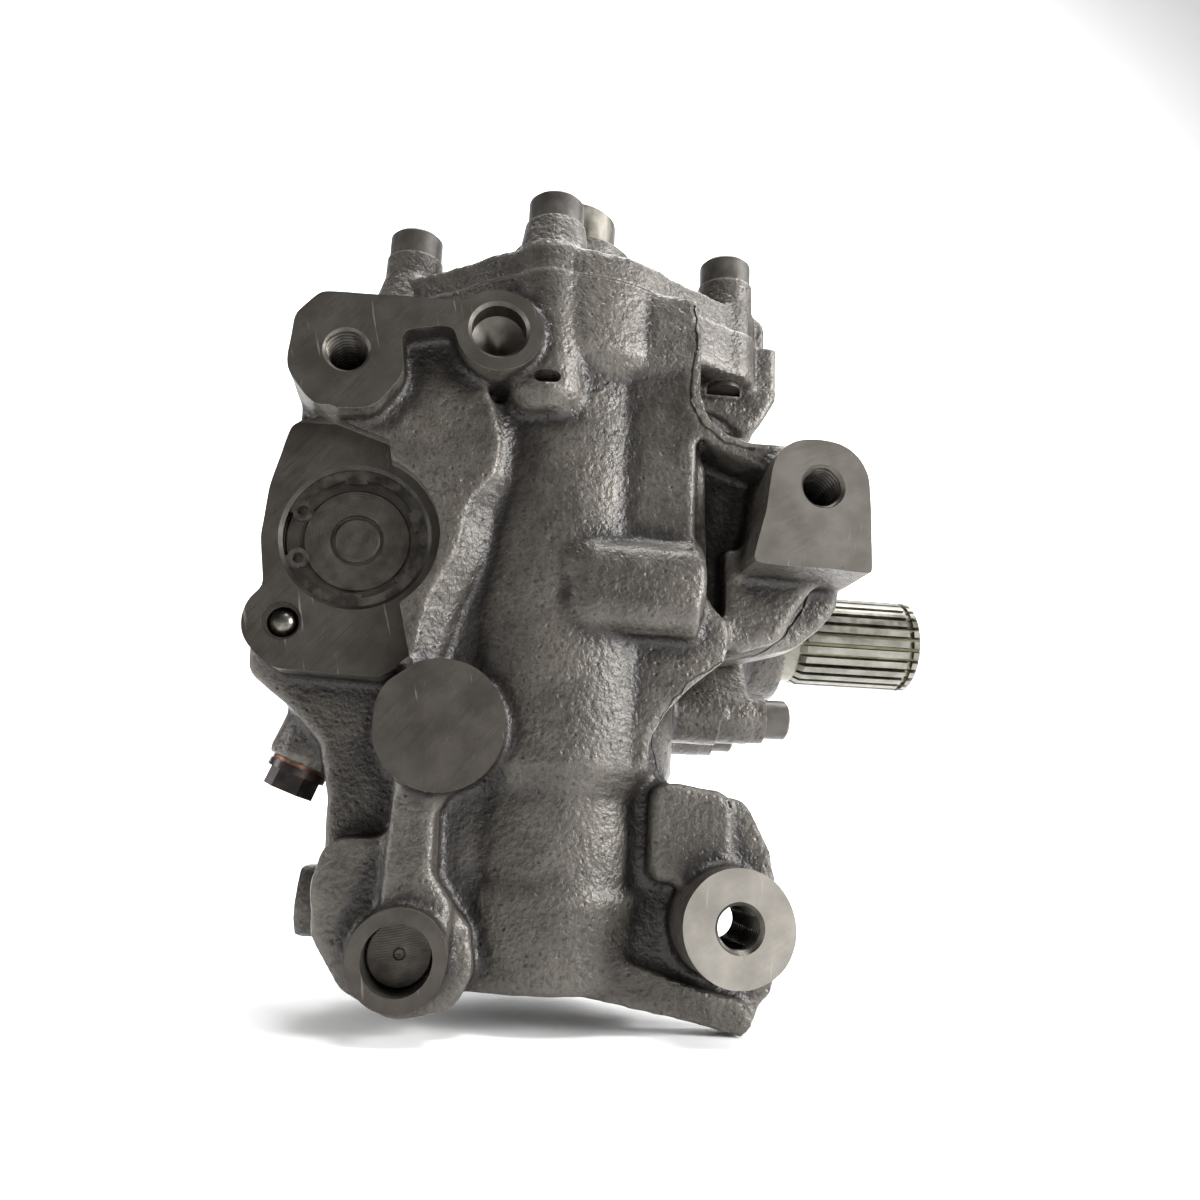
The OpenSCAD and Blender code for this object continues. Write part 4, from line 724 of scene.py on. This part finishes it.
def screw_node(kind, inputs, **settings):
    node = screw_tree.nodes.new(kind)
    for key, value in settings.items():
        setattr(node, key, value)
    for key, value in inputs.items():
        if isinstance(value, bpy.types.NodeSocket):
            screw_tree.links.new(value, node.inputs[key])
        else:
            node.inputs[key].default_value = value
    return node.outputs


def product(one, two, operation="MULTIPLY"):
    return screw_node("ShaderNodeMath", {0: one, 1: two}, operation=operation)[0]


def drawn_out(mesh, selection, along, distance):
    face = {"Mesh": mesh, "Selection": selection, "Offset": (0, 0, along), "Offset Scale": distance}
    return screw_node("GeometryNodeExtrudeMesh", {**face, "Individual": False})


def necked(mesh, selection, factor):
    return screw_node("GeometryNodeScaleElements", {"Geometry": mesh, "Selection": selection, "Scale": factor})[0]


def lifted(mesh, height):
    place = screw_node("ShaderNodeCombineXYZ", {"Z": height})[0]
    return screw_node("GeometryNodeTransform", {"Geometry": mesh, "Translation": place})[0]


edge = product(given["Thread Diameter"], 0.1)
wall = product(given["Head Height"], edge, "SUBTRACT")
blank = screw_node(
    "GeometryNodeMeshCylinder", {"Vertices": 48, "Radius": product(given["Thread Diameter"], 0.75), "Depth": wall}
)
crown = drawn_out(blank["Mesh"], blank["Top"], 1, edge)
neck = drawn_out(necked(crown["Mesh"], crown["Top"], 0.87), blank["Bottom"], -1, 0.00001)
shank = drawn_out(necked(neck["Mesh"], neck["Top"], 0.64), neck["Top"], -1, given["Shank Length"])
socket = screw_node(
    "GeometryNodeMeshCylinder",
    {"Vertices": 6, "Radius": product(given["Thread Diameter"], 0.46), "Depth": given["Head Height"]},
)
screw = screw_node(
    "GeometryNodeMeshBoolean",
    {0: lifted(shank["Mesh"], product(wall, 0.5)), 1: lifted(socket["Mesh"], product(given["Head Height"], 0.9))},
    operation="DIFFERENCE", solver="MANIFOLD",
)[0]
screws = screw_node(
    "GeometryNodeInstanceOnPoints", {"Points": given["Seats"], "Instance": screw, "Rotation": given["Turn"]}
)[0]
screws = screw_node("GeometryNodeRealizeInstances", {"Geometry": screws})[0]
screws = screw_node("GeometryNodeSetMaterial", {"Geometry": screws, "Material": given["Metal"]})[0]
screw_tree.links.new(screws, screw_tree.nodes.new("NodeGroupOutput").inputs[0])


def cap_screws(name, seats, thread, length, height, turn, node):
    """One mesh with a cap screw on each seat; sizes in millimetres, turn from +Z to the screw's axis."""
    mesh = bpy.data.meshes.new(name)
    mesh.from_pydata([Vector(seat) * MM for seat in seats], [], [])
    row = new_object(name, mesh)
    nodes_modifier = row.modifiers.new("screws", "NODES")
    nodes_modifier.node_group = screw_tree
    for label, value in (
        ("Thread Diameter", thread * MM), ("Shank Length", length * MM), ("Head Height", height * MM),
        ("Turn", turn), ("Metal", screw_paint.material),
    ):
        nodes_modifier[screw_sockets[label]] = value
    mesh = applied(row)
    mesh.shade_smooth()
    mesh.set_sharp_from_angle(angle=math.radians(35))
    row = new_object(name, mesh)
    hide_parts(node)
    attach(row, "housing")


cap_screws(
    "cover_cap_screws", [(x, y, SEAT_Z) for x, y in all_valve_bolts], 16, 51.5, 13, (0.0, 0.0, 0.0),
    "valve_housing_screws",
)
cap_screws(
    "side_cap_screws", [(BOSS_X, y, z) for y, z in side_bolts], 12, 42, 12, (0.0, math.pi / 2, 0.0),
    "side_cover_screws",
)

# Output shaft: forged and ground steel, left bare. The splines shine on their tips and hold old
# grease and rust between them; the journal and the sector inside are ground.
ground = Finish("ground_shaft", (0.55, 0.52, 0.45), 0.3, 1.0)
parts = ground.node("ShaderNodeSeparateXYZ", {0: ground.place})
from_axis = ground.node(
    "ShaderNodeVectorMath",
    {0: ground.place, 1: (0, SECTOR[0] * MM, SECTOR[1] * MM)}, operation="SUBTRACT",
).outputs[0]
flat_radius = ground.node("ShaderNodeVectorMath", {0: from_axis, 1: (0, 1, 1)}, operation="MULTIPLY").outputs[0]
radius = ground.node("ShaderNodeVectorMath", {0: flat_radius}, operation="LENGTH").outputs["Value"]
tip = ground.between(radius, 0.0209, 0.0228)
on_spline = ground.between(parts.outputs["X"], 0.0595, 0.0605)
smear = ground.between(ground.grain(110, 5), 0.3, 0.7)
tip_tone = ground.mixed(smear, (0.12, 0.116, 0.1), (0.22, 0.214, 0.188))
root_tone = ground.mixed(smear, (0.07, 0.065, 0.04), (0.16, 0.15, 0.1))
spline_tone = ground.mixed(tip, root_tone, tip_tone)
end_face = ground.between(radius, 0.0203, 0.0198)
spline_tone = ground.mixed(end_face, spline_tone, tip_tone)
ground.colour(ground.mixed(on_spline, tip_tone, spline_tone))
ground.roughness(ground.between(ground.grain(300, 3), 0.3, 0.7, 0.28, 0.46))
ground.relief((ground.grain(60, 2, (40, 1, 1)), 0.03, 0.6), (ground.grain(500, 3), 0.04, 0.5))


def dressed(finish, *names):
    """Give carried-over CAD nodes their finish."""
    for name in names:
        nodes[name].data.materials.clear()
        nodes[name].data.materials.append(finish.material)


dressed(ground, "sector_shaft")

# Input shaft: a turned steel hub above the valve housing, bare and a little yellow with old
# preservative, with a serrated socket for the steering column.
hub = Finish("turned_hub", (0.5, 0.46, 0.37), 0.34, 1.0)
hub.colour(hub.mixed(hub.between(hub.grain(120, 5), 0.35, 0.65), (0.1, 0.093, 0.078), (0.2, 0.189, 0.162)))
hub.roughness(hub.between(hub.grain(260, 3), 0.3, 0.7, 0.3, 0.5))
hub.relief((hub.grain(50, 2, (1, 1, 60)), 0.04, 0.7), (hub.grain(600, 3), 0.05, 0.5))
dressed(hub, "input_shaft")

# Bore cap, its internal retaining ring, and the core plug: turned and pressed steel, blackened
# by oil. The cap shows its turning rings, and the ring snaps into a groove in the bore.
turned_cap = Finish("turned_cap", (0.1, 0.09, 0.078), 0.38, 0.7)
from_cap = turned_cap.node(
    "ShaderNodeVectorMath", {0: turned_cap.place, 1: (CAP_BORE[0] * MM, 0, CAP_BORE[2] * MM)},
    operation="SUBTRACT",
).outputs[0]
cap_flat = turned_cap.node("ShaderNodeVectorMath", {0: from_cap, 1: (1, 0, 1)}, operation="MULTIPLY").outputs[0]
cap_radius = turned_cap.node("ShaderNodeVectorMath", {0: cap_flat}, operation="LENGTH").outputs["Value"]
rings = turned_cap.node("ShaderNodeMath", {0: turned_cap.both(cap_radius, 7000.0)}, operation="SINE").outputs[0]
turned_cap.colour(turned_cap.mixed(
    turned_cap.between(turned_cap.grain(130, 5), 0.35, 0.65), (0.055, 0.048, 0.041), (0.092, 0.082, 0.07)
))
turned_cap.roughness(turned_cap.between(turned_cap.grain(300, 3), 0.3, 0.7, 0.32, 0.5))
turned_cap.relief((turned_cap.between(rings, -1, 1), 0.05, 0.6), (turned_cap.grain(420, 4), 0.15, 0.6))
dressed(turned_cap, "bore_cap", "core_plug")
spring_steel = Finish("spring_steel", (0.09, 0.08, 0.07), 0.36, 0.8)
spring_steel.colour(spring_steel.mixed(
    spring_steel.between(spring_steel.grain(200, 4), 0.4, 0.62), (0.045, 0.04, 0.034), (0.12, 0.11, 0.095)
))
spring_steel.relief((spring_steel.grain(600, 3), 0.08, 0.5))
dressed(
    spring_steel, "retaining_ring", "adjuster_retainer", "adjuster_screw", "adjuster_nut",
    "torsion_bar_pin", "valve_sleeve_pin",
)

# Ball plug and bearing balls: hardened ball steel. The plug is pressed into its drilling and
# lies under a film of old paint and dirt.
ball_steel = Finish("ball_steel", (0.3, 0.28, 0.24), 0.3, 1.0)
ball_steel.colour(ball_steel.mixed(
    ball_steel.between(ball_steel.grain(260, 4), 0.4, 0.66), (0.06, 0.055, 0.047), (0.22, 0.205, 0.18)
))
ball_steel.relief((ball_steel.grain(700, 3), 0.05, 0.4))
dressed(ball_steel, "ball_plug", "recirculating_balls", "worm_bearing_balls")

# Flanged hexagon plug with its soft copper washer, in the boss at the lower left: blackened
# steel, wet with oil.
black_plug = Finish("black_plug", (0.018, 0.014, 0.014), 0.28, 0.4)
black_plug.colour(black_plug.mixed(
    black_plug.between(black_plug.grain(160, 4), 0.4, 0.66), (0.012, 0.01, 0.01), (0.05, 0.03, 0.028)
))
black_plug.relief((black_plug.grain(500, 3), 0.1, 0.5))
dressed(black_plug, "hex_plug")
soft_copper = Finish("soft_copper", (0.4, 0.2, 0.11), 0.45, 0.9)
soft_copper.colour(soft_copper.mixed(
    soft_copper.between(soft_copper.grain(240, 4), 0.4, 0.62), (0.09, 0.05, 0.036), (0.24, 0.13, 0.08)
))
soft_copper.relief((soft_copper.grain(700, 2), 0.04, 0.4))
dressed(soft_copper, "hex_plug_washer")

# Seals and joint rings: black nitrile rubber, moulded, with a dusty bloom.
rubber = Finish("seal_rubber", (0.02, 0.02, 0.02), 0.6)
rubber.colour(rubber.mixed(rubber.between(rubber.grain(180, 4), 0.4, 0.7), (0.014, 0.014, 0.014), (0.05, 0.047, 0.043)))
rubber.roughness(rubber.between(rubber.grain(300, 3), 0.3, 0.7, 0.5, 0.72))
rubber.relief((rubber.grain(600, 3), 0.08, 0.5))
dressed(
    rubber, "valve_housing_oring", "input_seal", "sector_seal", "sector_dust_seal", "side_cover_oring",
    "bore_cap_oring",
)

# Worm, rack piston, valve and bearings inside: hardened and ground steel with an oil film, and
# bronze filled polymer rings.
oiled_steel = Finish("oiled_steel", (0.4, 0.39, 0.36), 0.28, 1.0)
oiled_steel.colour(oiled_steel.mixed(
    oiled_steel.between(oiled_steel.grain(90, 4), 0.38, 0.64), (0.3, 0.285, 0.25), (0.5, 0.485, 0.45)
))
oiled_steel.relief((oiled_steel.grain(70, 2, (1, 1, 30)), 0.03, 0.6))
dressed(
    oiled_steel, "worm_shaft", "rack_piston", "valve_sleeve", "torsion_bar", "input_bearing",
    "worm_bearing_outer", "worm_bearing_inner", "sector_bearing_rear", "sector_bearing_front",
)
slide_ring = Finish("slide_ring", (0.3, 0.18, 0.09), 0.5)
slide_ring.colour(slide_ring.mixed(
    slide_ring.between(slide_ring.grain(400, 4), 0.4, 0.62), (0.2, 0.115, 0.06), (0.34, 0.21, 0.11)
))
slide_ring.relief((slide_ring.grain(800, 2), 0.03, 0.4))
dressed(slide_ring, "valve_sleeve_rings", "piston_ring")
